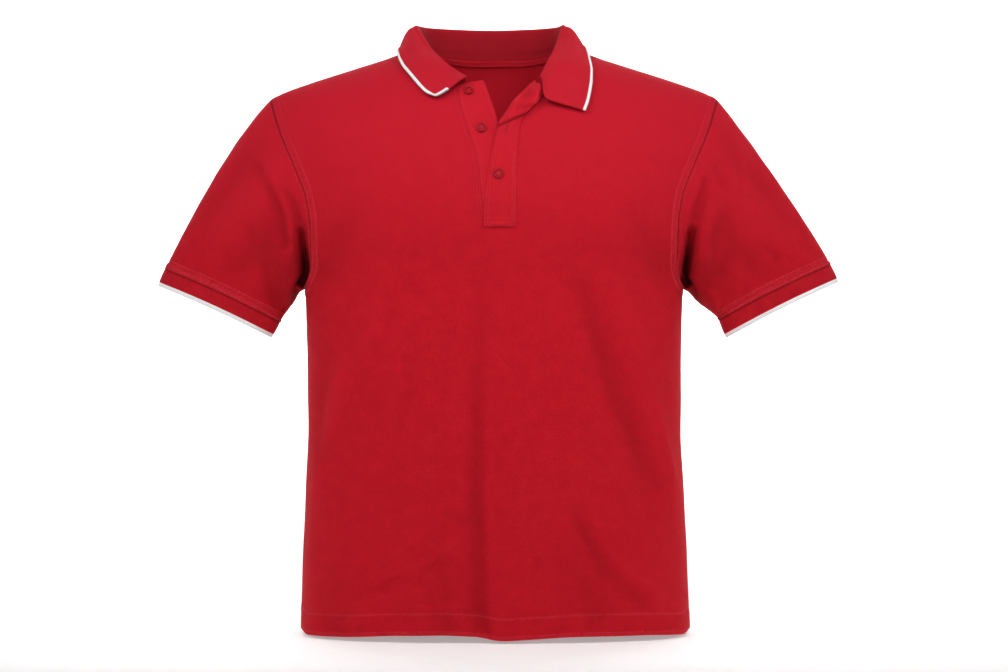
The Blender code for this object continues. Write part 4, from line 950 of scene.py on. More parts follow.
def make_front():
    right_x, right_z, low = half_panel("front_right", -1, lambda z: curve(SLIT_RIGHT, 1, z))
    left_x, left_z, low = half_panel("front_left", 1, lambda z: curve(SLIT_LEFT, 1, z))
    t = np.linspace(0, 1, MIDDLE_COLUMNS + 1)[1:-1]
    mid_x = right_x[:, :1] * (1 - t) + left_x[:, :1] * t
    mid_z = right_z[:, :1] * (1 - t) + left_z[:, :1] * t
    xs = np.concatenate((right_x[:, ::-1], mid_x, left_x), axis=1)
    zs = np.concatenate((right_z[:, ::-1], mid_z, left_z), axis=1)
    fade = np.clip((-0.472 - zs) / 0.1985, 0, 1)
    zs = zs + (curve(HEM_FRONT, 1, xs) - HEM) * fade
    keep = np.ones((xs.shape[0] - 1, xs.shape[1] - 1), bool)
    half = NECK_COLUMNS + SHOULDER_COLUMNS
    keep[low + SLIT_ROWS:, half:half + MIDDLE_COLUMNS] = False
    return panel("front", xs, zs, "front", low, keep)


def make_back():
    right_x, right_z, low = half_panel("back", -1, lambda z: np.zeros(np.shape(z)))
    left_x, left_z, low = half_panel("back", 1, lambda z: np.zeros(np.shape(z)))
    xs = np.concatenate((right_x[:, :0:-1], left_x), axis=1)
    zs = np.concatenate((right_z[:, :0:-1], left_z), axis=1)
    zs = zs + 0.0012 * np.sin(xs * 22 + 0.7) * np.clip((-0.60 - zs) / 0.094, 0, 1) * (
        1 - (np.abs(xs) / 0.231) ** 6)
    return panel("back", xs, zs, "back", low)


def seam_edge(lines, along, beyond):
    """Both edges of a seam, moved by its gap to the side that lies beyond the cloth."""
    way = unit(np.cross(along, lines[1] - lines[0]))
    way = way * np.sign(np.sum(way * beyond, axis=-1, keepdims=True))
    return lines[0] + way * SEAM_GAP, lines[1] + way * SEAM_GAP


def armhole_loop(front, back, sign):
    """Edge of the armhole from the armpit up the front, over the shoulder and down the back."""
    low = front["low"]
    column = -1 if sign > 0 else 0
    inside = -2 if sign > 0 else 1
    lines = []
    for layer in ("outer", "inner"):
        f = front[layer][low:, column]
        b = back[layer][low:, column]
        loop = np.concatenate((f, b[-2:0:-1]))
        loop[0] = (f[0] + b[0]) / 2
        loop[len(f) - 1] = (f[-1] + b[-1]) / 2
        lines.append(loop)
    f = front["outer"][low:, column] - front["outer"][low:, inside]
    b = back["outer"][low:, column] - back["outer"][low:, inside]
    beyond = np.concatenate((f, b[-2:0:-1]))
    beyond[0] = (sign * 0.8, 0, 0.6)
    beyond[len(f) - 1] = (sign, 0, 0)
    wrap = np.concatenate((lines[0][-1:], lines[0], lines[0][:1]))
    return seam_edge(lines, wrap[2:] - wrap[:-2], beyond)


def ring_ends(side):
    """Middle and long half axis of the cuff seam, then of the cuff end."""
    spots = [np.array((x, SLEEVE_Y, z)) for x, z in SLEEVE_ENDS[side]]
    return [((a + b) / 2, (a - b) / 2) for a, b in (spots[:2], spots[2:])]


def cuff_ring(middle, half, depth, axis, turn):
    """Oval round the arm, a little drawn back at the front and the back."""
    forward = np.array((0.0, -1.0, 0.0))
    ring = middle - half * np.cos(turn)[:, None] + forward * (depth * np.sin(turn))[:, None]
    return ring - axis * (CUFF_RISE * np.sin(turn) ** 2)[:, None]


def round_shares(loop, top):
    """Share of the way round from the armpit (0) over the front to the top (0.5) and back (1)."""
    far = run_length(np.concatenate((loop, loop[:1])))
    front = 0.5 * far[: top + 1] / far[top]
    back = 0.5 + 0.5 * (far[top + 1: -1] - far[top]) / (far[-1] - far[top])
    return np.concatenate((front, back))


def sleeve_normals(points):
    n = grid_normals(points, True)
    centre = points.mean(axis=1, keepdims=True)
    return -n if np.sum(n * (points - centre)) < 0 else n


def make_sleeve(side, sign, front, back):
    start_out, start_in = armhole_loop(front, back, sign)
    top = front["outer"].shape[0] - 1 - front["low"]
    share = round_shares(start_out, top)
    (middle, half), (end_middle, end_half) = ring_ends(side)
    axis = unit(end_middle - middle)
    turn = share * 2 * math.pi
    finish = cuff_ring(middle, half, CUFF_DEPTH, axis, turn)
    up = 1 - np.abs(2 * share - 1)
    pull_out = sign * curve(SLEEVE_START, 1, up) * SLEEVE_REACH[side]
    pull_fore = -curve(SLEEVE_START, 2, up) * np.sign(0.5 - share)
    pull_down = -curve(SLEEVE_START, 3, up)
    leave = np.stack((pull_out, pull_fore, pull_down), axis=-1)
    arrive = axis * SLEEVE_FINISH[side] * (0.25 + 0.75 * up)[:, None]
    arrive += (finish - start_out) * 0.5 * (1 - up)[:, None]
    v = np.concatenate((np.linspace(0, 0.93, SLEEVE_ROWS), np.linspace(0.93, 1, 14)[1:]))
    rings = []
    for s in v:
        h0 = 2 * s**3 - 3 * s**2 + 1
        h1 = s**3 - 2 * s**2 + s
        h2 = s**3 - s**2
        rings.append(start_out * h0 + leave * h1 + finish * (1 - h0) + arrive * h2)
    outer = np.array(rings)
    normal = sleeve_normals(outer)
    v = v[:, None]
    height = np.zeros(outer.shape[:2])
    for around, along, wide, long, high in SLEEVE_FOLDS:
        away = np.abs(share[None, :] - around)
        away = np.minimum(away, 1 - away)
        height += high * np.exp(-(away / wide) ** 2 - ((v - along) / long) ** 2)
    faces = {"front": smooth(0.0, 0.05, share) * smooth(0.5, 0.43, share),
             "back": smooth(1.0, 0.95, share) * smooth(0.5, 0.57, share)}
    for part, rows in SLEEVE_CREASES[side].items():
        height += crease_sum(outer[..., 0], outer[..., 2], rows) * faces[part]
    # Painted light and shade: the fold heights, read back as colour, make ridges paler and troughs darker
    fold = np.clip(height / FULL_FOLD, -1, 1) * np.clip(v / 0.12, 0, 1) * np.clip((1 - v) / 0.15, 0, 1)
    height += RELIEF["ripple"] * np.sin(share[None, :] * 95 + 4 * v) * np.sin(v * 37 + 1.1)
    height *= np.clip(v / 0.12, 0, 1) * np.clip((1 - v) / 0.15, 0, 1)
    height += RELIEF["gather"] * np.sin(share[None, :] * 330) * bell(v, 0.95, 0.03)
    height += SEAM_ROLL * (smooth(0.945, 0.962, v) - 0.55 * bell(v, 0.948, 0.008))
    valley = crease(outer[..., 0], outer[..., 2], VALLEY_WIDE, 1.0, 0.25, 1.0, *VALLEY[side])
    outer = outer + normal * height[..., None]
    for part in ("front", "back"):
        near = valley * faces[part] * smooth(0.0, 0.05, v) * VALLEY_DEEP[part]
        outer[..., 1] += near * (SLEEVE_Y - outer[..., 1])
    sunk = RELIEF["ditch"] * bell(lengths(outer, 0), 0, 0.0013)
    outer = outer - sleeve_normals(outer) * sunk[..., None]
    outer[0] = start_out
    inner = outer - sleeve_normals(outer) * CLOTH
    inner[0] = start_in
    far = lengths(outer, 0)
    to_end = far[-1:] - far
    near_start = np.where(far < 0.005, far + 0.0010, 1.0)
    seam = np.minimum(near_start, np.abs(to_end - 0.0030) * 1.2)
    # Painted shade at the armhole seam, at the cuff seam, and in the valley under the arm
    ditch = np.maximum(0.8 - 0.8 * smooth(0.0002, 0.0010, far), 1 - smooth(0.0, 0.0012, to_end))
    ditch = np.maximum(ditch, 1.35 * smooth(0.25, 0.75, valley) * faces["front"])
    shell("sleeve_" + side, outer, inner, (PIQUE, INSIDE), closed=True, seam=seam, ditch=ditch,
          fold=fold)
    row = int(np.argmin(np.abs(v[:, 0] - 0.974)))
    line, way = [np.concatenate((grid[row], grid[row][:1])) for grid in (outer, normal)]
    beads("stitch_cuff_" + side, [(line + way * 0.0002, way)], THREAD, "pique", pitch=0.0026, length=0.0017)
    return {"end": outer[-1], "end_inner": inner[-1], "axis": axis, "turn": turn,
            "ring": (end_middle, end_half)}


def make_cuff(side, sleeve):
    """Rib band set a little inside the edge of the sleeve."""
    (middle, half), axis, turn = sleeve["ring"], sleeve["axis"], sleeve["turn"]
    inset = 1 - SEAM_ROLL / np.linalg.norm(half)
    last = cuff_ring(middle, half * inset, CUFF_DEPTH - SEAM_ROLL, axis, turn)
    base = sleeve["end"] * 0.62 + sleeve["end_inner"] * 0.38 + axis * SEAM_GAP
    t = np.concatenate((np.linspace(0, 0.94, 16), (0.97, 0.99, 1.0)))[:, None]
    outer = base * (1 - t[..., None]) + last * t[..., None]
    normal = sleeve_normals(outer)
    height = 0.0005 * np.sin(math.pi * t) - 0.0005 * smooth(0.95, 1.0, t)
    height = height + 0.0003 * np.sin(turn[None, :] * 9 + 1) * t
    outer = outer + normal * height[..., None]
    inner = outer - normal * (RIB - 0.0005 * smooth(0.95, 1.0, t))[..., None]
    far = lengths(outer, 0)
    # Painted shade at the foot of the cuff, under the seam roll
    obj = shell("cuff_" + side, outer, inner, (RIB_STUFF, RIB_STUFF), closed=True,
                ditch=1 - smooth(0.0002, 0.0018, far))
    set_tip(obj, (far[-1:] - far) * 0.72)


def set_tip(obj, grid):
    """Distance from the tipped edge, for both faces of a shell that keeps all its points."""
    value = np.concatenate((grid.reshape(-1), grid.reshape(-1)))
    obj.data.attributes.new("tip", "FLOAT", "POINT").data.foreach_set("value", value)


def make_under_placket(front):
    """Button stand of the wearer's right, level with the front and set in the slit."""
    low = front["low"] + SLIT_ROWS
    half = NECK_COLUMNS + SHOULDER_COLUMNS
    start = front["outer"][low:, half]
    end = front["outer"][low:, half + MIDDLE_COLUMNS]
    rows_x, rows_z = [], []
    columns = 16
    for k in range(len(start)):
        x0 = start[k, 0] + SEAM_GAP
        z0 = start[k, 2]
        far = k / (len(start) - 1)
        rise = 0.0045 * max(0.0, far - 0.6) / 0.4
        x1 = min(float(curve(UNDER_EDGE, 1, z0 + rise)), end[k, 0] - SEAM_GAP)
        slope = (end[k, 2] - z0) / (end[k, 0] - start[k, 0])
        t = np.linspace(0, 1, columns + 1)
        x = x0 + (x1 - x0) * t
        flat = 1 - max(0.0, far - 0.5) / 0.5
        rows_x.append(x)
        rows_z.append(z0 + slope * flat * (x - x0) + rise * t)
    xs, zs = np.array(rows_x), np.array(rows_z)
    outer, normal = body_points(xs, zs, "front")
    across = lengths(outer, 1)
    edge = np.minimum(across, across[:, -1:] - across)
    height = 0.0004 * smooth(0.0, 0.002, edge) - 0.0002 * bell(edge, 0.0030, 0.0012)
    outer = outer + normal * height[..., None]
    inner = outer - normal * PLACKET_CLOTH
    shell("placket_under", outer, inner, (PLACKET, PLACKET), seam=edge)
    return {"outer": outer, "inner": inner, "normal": normal}


def bow(a, b, c, at):
    """Parabola through three values at 0, one half and 1."""
    return a + (4 * b - 3 * a - c) * at + (2 * a + 2 * c - 4 * b) * at**2


def make_top_placket():
    """Buttonhole stand of the wearer's left: flat below, rolled open at the neck."""
    rows = np.linspace(3.94, 11.5, 96)
    across = np.linspace(0, 1, 29)
    value = [curve(PLACKET_ROLL, c, rows)[:, None] for c in range(1, 10)]
    xs, zs, lifts = [bow(value[k], value[k + 3], value[k + 6], across) for k in range(3)]
    outer, normal = body_points(xs, zs, "front", lifts)
    way = grid_normals(outer)
    if np.sum(way * normal) < 0:
        way = -way
    side = lengths(outer, 1)
    up = lengths(outer, 0)
    edge = np.minimum(side, side[:, -1:] - side)
    height = -0.0005 * (1 - smooth(0.0, 0.0012, np.minimum(edge, up)))
    height -= 0.00030 * bell(edge, 0.0042, 0.0012)
    height -= 0.00035 * bell(up, 0.0098, 0.0014)
    step = rows[:, None]
    crumple = np.sin(across * 8 + step * 2.6) + 0.8 * np.sin(across * 4 - step * 6.3 + 2)
    crumple += 0.6 * np.sin(across * 14 + step * 4.4 + 0.5)
    crumple = crumple * smooth(9.0, 9.8, step) * smooth(0.0, 0.15, across) * smooth(1.0, 0.80, across)
    height += CRUMPLE * crumple
    line = np.array(ROLL_LINE)
    above = outer[..., 2] - np.interp(outer[..., 0], line[:, 0], line[:, 1])
    height += ROLL_HIGH * smooth(-0.0008, 0.0016, above)
    shadow = bell(above, -0.0012, 0.0016)
    height -= 0.0006 * shadow
    outer = outer + way * height[..., None]
    blend = smooth(0.0029, 0.0036, lifts)[..., None]
    stitched = side[:, -1:] - side
    thick = PLACKET_CLOTH - 0.0011 * (1 - smooth(0.0, 0.006, stitched)) * smooth(9.4, 8.8, step)
    inner = outer - unit(normal * (1 - blend) + way * blend) * thick[..., None]
    seam = np.minimum(np.minimum(side, up), stitched + 0.02 * smooth(7.4, 8.4, step))
    # Painted shadow under the rolled edge and beside the stitched edge near the neck; the crumples are
    # painted paler on their ridges and darker in their hollows
    ditch = np.maximum(0.95 * shadow, 0.9 * smooth(9.4, 9.8, step) * (1 - smooth(0.0, 0.004, stitched)))
    shell("placket_top", outer, inner, (PLACKET, PLACKET), seam=seam, ditch=ditch,
          fold=0.6 * crumple)
    return {"outer": outer, "normal": way, "rows": rows}


def neck_rim(front, back, under):
    """Edges of the neckline from the wearer's right front over the back to the left front."""
    half = NECK_COLUMNS + SHOULDER_COLUMNS
    right = list(range(half, SHOULDER_COLUMNS - 1, -1))
    left = list(range(half + MIDDLE_COLUMNS + NECK_COLUMNS, half + MIDDLE_COLUMNS, -1))
    middle = range(SHOULDER_COLUMNS + 1, SHOULDER_COLUMNS + 2 * NECK_COLUMNS)
    lines = []
    for layer in ("outer", "inner"):
        top = front[layer][-1]
        rear = back[layer][-1]
        line = [under[layer][-1, 4]]
        line += [top[c] for c in right]
        line[-1] = (line[-1] + rear[SHOULDER_COLUMNS]) / 2
        line += [rear[c] for c in middle]
        end = (rear[SHOULDER_COLUMNS + 2 * NECK_COLUMNS] + top[left[0]]) / 2
        line += [end] + [top[c] for c in left[1:]]
        lines.append(np.array(line))
    beyond = [front["outer"][-1, c] - front["outer"][-2, c] for c in [half] + right]
    beyond += [back["outer"][-1, c] - back["outer"][-2, c] for c in list(middle) + [middle[-1] + 1]]
    beyond += [front["outer"][-1, c] - front["outer"][-2, c] for c in left[1:]]
    beyond = np.array(beyond)
    beyond[NECK_COLUMNS + 1] = (1.0, 0.0, 0.2)
    beyond[NECK_COLUMNS + 1 + 2 * NECK_COLUMNS] = (-1.0, 0.0, 0.2)
    return seam_edge(lines, np.gradient(lines[0], axis=0), beyond)


def resample(line, share, at):
    return np.stack([np.interp(at, share, line[:, k]) for k in range(3)], axis=1)


def leaf_points(start, third, two, end, shares):
    """Cubic through the edge of the fold, one third, two thirds and the free edge."""
    rows = []
    for s in shares:
        a = (s - 1 / 3) * (s - 2 / 3) * (s - 1) / (-2 / 9)
        b = s * (s - 2 / 3) * (s - 1) / (2 / 27)
        c = s * (s - 1 / 3) * (s - 1) / (-2 / 27)
        d = s * (s - 1 / 3) * (s - 2 / 3) / (2 / 9)
        rows.append(start * a + third * b + two * c + end * d)
    return rows


def make_collar(front, back, under):
    rim_outer, rim_inner = neck_rim(front, back, under)
    far = run_length(rim_outer)
    share = np.linspace(0, 1, 241)
    rim_outer, rim_inner = [resample(line, far / far[-1], share) for line in (rim_outer, rim_inner)]
    fold, edge, roll_third, roll_two = [
        np.stack([curve(table, c, share) for c in columns], axis=-1)
        for table in (COLLAR, LEAF_ROLL) for columns in ((1, 2, 3), (4, 5, 6))]
    third = fold * 2 / 3 + edge / 3 + roll_third
    two = fold / 3 + edge * 2 / 3 + roll_two
    along = unit(np.gradient(fold, axis=0))
    away = fold - np.array(NECK_MIDDLE + (0.0,))
    away[:, 2] = 0
    up = unit(np.cross(along, unit(away)))
    up = up * np.sign(up[:, 2:3])
    out = unit(np.cross(up, along))
    out = out * np.sign(np.sum(out * away, axis=-1, keepdims=True))
    centre = fold - up * FOLD_RADIUS
    start = centre - out * FOLD_RADIUS
    stand = [rim_inner * (1 - t) + start * t for t in np.linspace(0, 1, 9)[:-1]]
    arc = [centre + out * (FOLD_RADIUS * math.cos(a)) + up * (FOLD_RADIUS * math.sin(a))
           for a in np.linspace(math.pi, 0, 11)]
    shares = np.concatenate((np.linspace(0, 0.95, 23)[1:], (0.97, 0.985, 1.0)))
    leaf = leaf_points(arc[-1], third, two, edge, shares)
    corner = smooth(CORNER_FROM, 1.0, share)[:, None]
    for k, at in enumerate(shares):
        ends = (arc[-1], third, two, edge)
        part = min(2, int(at * 3))
        straight = ends[part] + (ends[part + 1] - ends[part]) * (at * 3 - part)
        leaf[k] = leaf[k] * (1 - corner) + straight * corner
    rows = stand[:1] + [push_out(row, STAND_CLEAR) for row in stand[1:] + arc]
    over = bell(share, 0.245, 0.06) + bell(share, 0.765, 0.06)
    rows += [push_out(row, LEAF_CLEAR + SHOULDER_RISE * over) for row in leaf]
    face = np.array(rows)
    first, last = len(stand) + len(arc) - 5, len(stand) + len(arc) + 9
    for _ in range(10):
        face[first:last] = (face[first - 1:last - 1] + 2 * face[first:last] + face[first + 1:last + 1]) / 4
    normal = grid_normals(face)
    if np.sum(normal[-1] * out) < 0:
        normal = -normal
    first = len(stand) + len(arc)
    leaf_at = np.concatenate((np.zeros(first), shares))[:, None]
    ripple = 0.00035 * np.sin(share[None, :] * 70 + 5 * leaf_at) * smooth(0.1, 0.8, leaf_at)
    face = face + normal * (ripple - 0.0005 * smooth(0.93, 1.0, leaf_at))[..., None]
    hidden = face - normal * (RIB - 0.0006 * smooth(0.93, 1.0, leaf_at))[..., None]
    hidden[0] = rim_outer
    row = np.arange(len(face))[:, None] + 0 * share[None, :]
    # Painted shade: the stand rows, seen inside the neck, are made darker
    ditch = STAND_PAINTED_SHADE * (1 - smooth(len(stand) - 2, len(stand) + 3, row))
    obj = shell("collar", face, hidden, (RIB_STUFF, RIB_STUFF), ditch=ditch)
    far = lengths(face, 0)
    tip = far[-1:] - far
    set_tip(obj, np.minimum(tip, np.maximum(lengths(face, 1), tip - 0.016)))


def make_tape(back):
    """Narrow band inside the back, just below the neck seam."""
    inner, normal = back["inner"][::-1], back["normal"][::-1]
    far = lengths(inner, 0)
    wants = np.linspace(TAPE_WIDE, 0.0012, 9)
    columns = range(SHOULDER_COLUMNS + 1, SHOULDER_COLUMNS + 2 * NECK_COLUMNS)
    line, ways = [np.stack([resample(grid[:, c], far[:, c], wants) for c in columns], axis=1)
                  for grid in (inner, normal)]
    ways = unit(ways)
    outer = line - ways * 0.0004
    face = outer - ways * TAPE_CLOTH
    shell("neck_tape", outer, face, (TAPE, TAPE))
    lines = [(face[k] - ways[k] * 0.0001, -ways[k]) for k in (1, len(face) - 2)]
    beads("stitch_tape", lines, THREAD, "tape")


def make_button(name, x, z, lift, turn):
    """Turned disc with a raised rim and a dished middle, drilled with four holes, and its thread."""
    p, n = body_points(np.array(x), np.array(z), "front", np.array(lift))
    side = unit(np.cross(n, np.array((0.0, 0.0, 1.0))))
    up = np.cross(side, n)
    rings = len(BUTTON_PROFILE)
    verts = []
    for share, height in BUTTON_PROFILE:
        verts += circle(p + n * height, side, up, share * BUTTON_RADIUS, BUTTON_SIDES)
    under_face, top_face = caps(0, rings, BUTTON_SIDES)
    mesh = new_mesh(name, verts, [under_face] + tube(0, rings, BUTTON_SIDES) + [top_face])
    # Painted shade: faces of the shaded rings take the dark material
    which = [int(ring in SHADED_RINGS) for ring in range(rings - 1) for _ in range(BUTTON_SIDES)]
    mesh.polygons.foreach_set("material_index", [0] + which + [0])
    spots = []
    for k in range(4):
        a = math.radians(45 + 90 * k + turn)
        spots.append(p + (side * math.cos(a) + up * math.sin(a)) * HOLE_OUT)
    verts, faces = [], []
    for centre in spots:
        first = len(verts)
        for height in (-0.002, 0.005):
            verts += circle(centre + n * height, side, up, HOLE_RADIUS, HOLE_SIDES)
        faces += tube(first, 2, HOLE_SIDES) + caps(first, 2, HOLE_SIDES)
    drill = show("drill", new_mesh("drill", verts, faces))
    obj = finish_mesh(name, mesh, [BUTTON, BUTTON_SHADE], 40)
    cut = obj.modifiers.new("holes", "BOOLEAN")
    cut.operation = "DIFFERENCE"
    cut.solver = "EXACT"
    cut.object = drill
    ready = bpy.data.meshes.new_from_object(obj.evaluated_get(bpy.context.evaluated_depsgraph_get()))
    obj.modifiers.clear()
    obj.data = ready
    ready.set_sharp_from_angle(angle=math.radians(40))
    bpy.data.objects.remove(drill, do_unlink=True)
    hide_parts(name)
    lines = []
    t = np.linspace(0, 1, 9)[:, None]
    rise = 0.00035 * np.sin(math.pi * t) - 0.0008 * np.abs(2 * t - 1) ** 4
    for a, b in ((0, 1), (2, 3)):
        for shift in (-0.00022, 0.00022):
            start, end = [spots[k] + n * 0.0019 + up * shift for k in (a, b)]
            line = start * (1 - t) + end * t + n * rise
            lines.append((line, np.broadcast_to(n, line.shape)))
    beads("thread_" + name, lines, THREAD, "button", pitch=0.1, length=0.0019, radius=0.0002)


def make_buttonhole(name, top, x, z, reach):
    """Slit with a row of close stitches on each side and a bar at each end."""
    outer, way = top["outer"], top["normal"]
    away = (outer[..., 0] - x) ** 2 + (outer[..., 2] - z) ** 2
    row, column = np.unravel_index(np.argmin(away), away.shape)
    far = lengths(outer, 0)[:, column]
    at = far[row] + np.linspace(-reach, reach, 13)
    at = at[(at > 0) & (at < far[-1])]
    line = resample(outer[:, column], far, at)
    out = unit(resample(way[:, column], far, at))
    across = unit(np.cross(np.gradient(line, axis=0), out))
    line = line + out * 0.0001
    rows = [(line + across * side, out) for side in (-0.0007, 0.0007)]
    for end in (0, -1):
        bar = line[end] + across[end] * np.linspace(-0.0012, 0.0012, 4)[:, None]
        rows.append((bar, np.broadcast_to(out[end], bar.shape)))
    beads("stitch_" + name, rows, THREAD, "placket", pitch=0.0009, length=0.0010, radius=0.00034)
    # Painted shade: a row of dark beads down the middle of the buttonhole, standing in for its shaded opening
    beads("slit_" + name, [(line[1:-1], out[1:-1])], SLIT_SHADE, "placket", pitch=0.0020, length=0.0021)


def contour(points, normal, distance, value, axis, reverse):
    """Line where the distance from an edge has that value, looked for from the edge inward."""
    if axis == 0:
        points, normal, distance = points.swapaxes(0, 1), normal.swapaxes(0, 1), distance.T
    if reverse:
        points, normal, distance = points[:, ::-1], normal[:, ::-1], distance[:, ::-1]
    line, way = [], []
    for r in range(points.shape[0]):
        over = np.nonzero(distance[r] > value)[0]
        if not len(over) or over[0] == 0:
            continue
        k = over[0]
        t = (value - distance[r, k - 1]) / (distance[r, k] - distance[r, k - 1])
        line.append(points[r, k - 1] * (1 - t) + points[r, k] * t)
        way.append(normal[r, k - 1] * (1 - t) + normal[r, k] * t)
    return np.array(line), np.array(way)


# Distances of the rows of stitches from the edge they follow
STITCH_LIFT = 0.00012
ARMHOLE_STITCHES = (0.0028, 0.0092)
SHOULDER_STITCH = {"back": 0.0062, "front": 0.0030}
PLACKET_FREE_STITCH = 0.0040
PLACKET_SEWN_STITCHES = (0.0024, 0.0046)
PLACKET_FOOT_STITCHES = (0.0012, 0.0098)
SLIT_STITCHES = (0.0022, 0.0052)
FINE = {"pitch": 0.0027, "length": 0.0020, "radius": 0.00028}
SEWN_TO_ROW = 7.6


def stitch_line(body, part, distance, value, axis=1, reverse=False):
    return contour(body["outer"][part], body["normal"][part], distance[part], value, axis, reverse)


def lifted(lines, by=STITCH_LIFT):
    """The lines that are long enough, moved just off the cloth."""
    return [(line + way * by, way) for line, way in lines if len(line) > 3]


def sew(front, back, under, top):
    """Topstitching of the armholes, shoulders, hem and placket."""
    bodies = {"front": front, "back": back}
    for side, sign in (("left", 1), ("right", -1)):
        lines = [stitch_line(body, slice(body["low"] + 4, None), body["armhole"], value, 1, sign > 0)
                 for body in bodies.values() for value in ARMHOLE_STITCHES]
        beads("stitch_armhole_" + side, lifted(lines), THREAD, "pique")
        columns = slice(0, SHOULDER_COLUMNS - 1) if sign < 0 else slice(-SHOULDER_COLUMNS + 1, None)
        lines = [stitch_line(bodies[key], (slice(None), columns), bodies[key]["shoulder"], value, 0, True)
                 for key, value in SHOULDER_STITCH.items()]
        beads("stitch_shoulder_" + side, lifted(lines), THREAD, "pique")
    for name, body in bodies.items():
        beads("stitch_hem_" + name, lifted([stitch_line(body, slice(None), body["hem"], HEM_STITCH, 0)]),
              THREAD, "pique")
    side, up = lengths(top["outer"], 1), lengths(top["outer"], 0)
    sewn = slice(2, int(np.searchsorted(top["rows"], SEWN_TO_ROW)))
    lines = [stitch_line(top, slice(2, -4), side, PLACKET_FREE_STITCH)]
    lines += [stitch_line(top, sewn, side[:, -1:] - side, value, reverse=True)
              for value in PLACKET_SEWN_STITCHES]
    lines += [stitch_line(top, (slice(None), slice(1, -1)), up, value, 0) for value in PLACKET_FOOT_STITCHES]
    lines = lifted(lines)
    across = lengths(under["outer"], 1)
    lines.append(stitch_line(under, slice(2, -2), across, 0.0016))
    lines.append(stitch_line(under, slice(2, -2), across[:, -1:] - across, 0.0030, reverse=True))
    beads("stitch_placket", lines, THREAD, "placket", **FINE)
    half = NECK_COLUMNS + SHOULDER_COLUMNS
    part = (slice(front["low"] + SLIT_ROWS + 1, -3), slice(None, half + 1))
    outer, way = front["outer"][part], front["normal"][part]
    side = lengths(outer[:, ::-1], 1)[:, ::-1]
    lines = [contour(outer, way, side, value, 1, True) for value in SLIT_STITCHES]
    beads("stitch_slit", lifted(lines, 0.0001), THREAD, "pique", **FINE)


front = make_front()
back = make_back()
sleeves = {}
for side_name, side_sign in (("left", 1), ("right", -1)):
    sleeves[side_name] = make_sleeve(side_name, side_sign, front, back)
    make_cuff(side_name, sleeves[side_name])
under = make_under_placket(front)
top = make_top_placket()
make_collar(front, back, under)
make_tape(back)
for row in BUTTONS:
    make_button(*row)
sew(front, back, under, top)
for row in BUTTONHOLES:
    make_buttonhole(row[0], top, *row[1:])

# Floor, light and camera

FLOOR_Z = -0.6986
FLOOR_GLOW = 0.07
# Glow under the shirt, where the photo has no dark ground, and the distances over which it ends
FLOOR_GLOW_MIDDLE = 0.34
GLOW_FROM, GLOW_TO = 0.30, 0.75
STAGE_FLAT = 4.0
STAGE_BEND = 1.0
STAGE_TOP = 4.5
STAGE_SIDES = 64


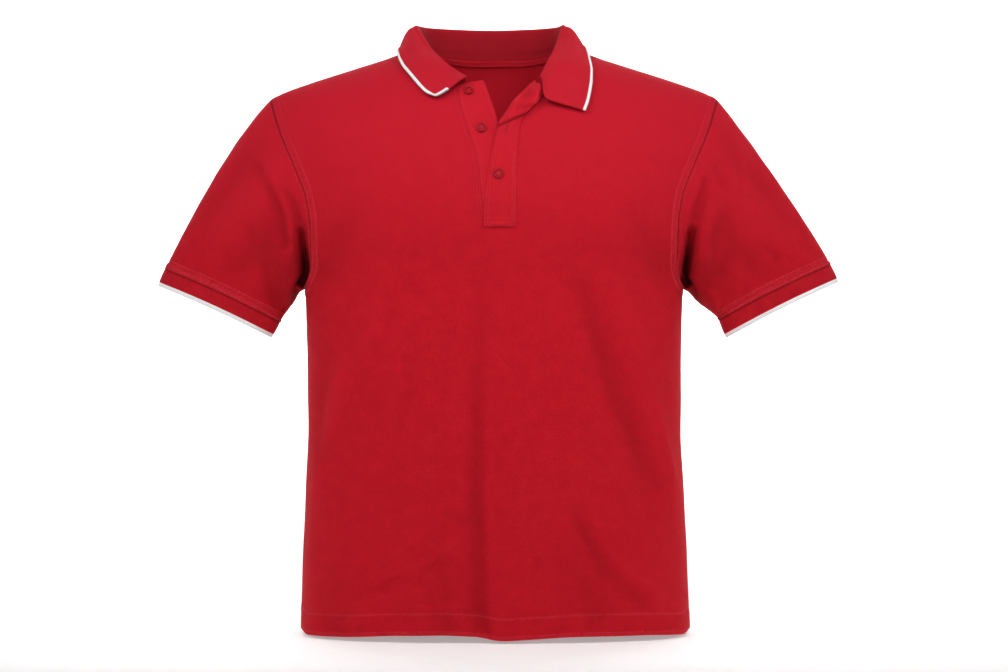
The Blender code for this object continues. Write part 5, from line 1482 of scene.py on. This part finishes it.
def make_stage():
    """Round seamless floor that turns up into a pale wall on every side."""
    profile = [(0.02, FLOOR_Z), (1.5, FLOOR_Z), (STAGE_FLAT, FLOOR_Z)]
    for k in range(1, 13):
        a = math.radians(90 * k / 12)
        profile.append((STAGE_FLAT + STAGE_BEND * math.sin(a), FLOOR_Z + STAGE_BEND * (1 - math.cos(a))))
    profile.append((STAGE_FLAT + STAGE_BEND, STAGE_TOP))
    verts = []
    for radius, z in profile:
        verts += circle(np.array((0, 0, z)), np.array((0, 1, 0)), np.array((1, 0, 0)), radius, STAGE_SIDES)
    faces = tube(0, len(profile), STAGE_SIDES) + [tuple(range(STAGE_SIDES))]
    mesh = new_mesh("floor", verts, faces)
    mesh.polygons.foreach_set("use_smooth", [True] * len(faces))
    material, tree, shader = new_material("floor")
    flat = add(tree, "VectorMath", {0: add(tree, "TexCoord", out=3), 1: (1, 1, 0)}, operation="MULTIPLY")
    far = add(tree, "VectorMath", {0: flat}, out=1, operation="LENGTH")
    glow = add(tree, "MapRange", {0: far, 1: GLOW_FROM, 2: GLOW_TO, 3: FLOOR_GLOW_MIDDLE, 4: FLOOR_GLOW},
               interpolation_type="SMOOTHSTEP")
    give(tree, shader, {
        "Base Color": (0.79, 0.79, 0.79, 1), "Emission Color": (1, 1, 1, 1), "Emission Strength": glow,
        "Roughness": 0.9, "Specular IOR Level": 0.1})
    mesh.materials.append(material)
    show("floor", mesh)


# Kind, name, place, aim, sides in metres or angle in degrees, power
LIGHTS = (
    ("AREA", "close_left", (-0.85, -1.25, 0.95), (-0.1, 0, -0.1), (0.6, 0.6), 10.6),
    ("AREA", "close_right", (0.85, -1.25, 0.95), (0.1, 0, -0.1), (0.6, 0.6), 9.2),
    ("AREA", "front", (0.0, -3.4, 0.4), (0, 0, -0.3), (1.2, 1.2), 1.6),
    ("AREA", "side", (2.0, -0.6, 0.7), (0.1, 0, -0.2), (0.8, 1.0), 5.0),
    ("AREA", "wall", (0.0, 2.9, 3.0), (0, 4.9, 0.3), (5.0, 1.0), 360),
    ("SPOT", "chest", (0.0, -2.3, 1.0), (0, -0.1, -0.185), 17, 48),
)
WORLD_LIGHT = 0.03
CAMERA_PLACE = (0.012, -3.0, -0.343)
CAMERA_LENS = 89.3


def make_light(kind, name, place, aim, size, power):
    data = bpy.data.lights.new(name, kind)
    if kind == "AREA":
        data.shape = "RECTANGLE"
        data.size, data.size_y = size
    else:
        data.spot_size = math.radians(size)
        data.spot_blend = 1.0
        data.shadow_soft_size = 0.15
    data.energy = power
    light = show(name, data)
    light.location = place
    light.rotation_euler = (Vector(aim) - Vector(place)).to_track_quat("-Z", "Y").to_euler()
    light.visible_camera = False


make_stage()
for row in LIGHTS:
    make_light(*row)

world = bpy.context.scene.world or bpy.data.worlds.new("world")
bpy.context.scene.world = world
world.use_nodes = True
world.node_tree.nodes["Background"].inputs[0].default_value = (1, 1, 1, 1)
world.node_tree.nodes["Background"].inputs[1].default_value = WORLD_LIGHT
bpy.context.scene.view_settings.view_transform = "Standard"

camera_data = bpy.data.cameras.new("camera")
camera_data.lens = CAMERA_LENS
camera_data.sensor_width = 36.0
camera = show("camera", camera_data)
camera.location = CAMERA_PLACE
camera.rotation_euler = (math.radians(90), 0, 0)
bpy.context.scene.camera = camera
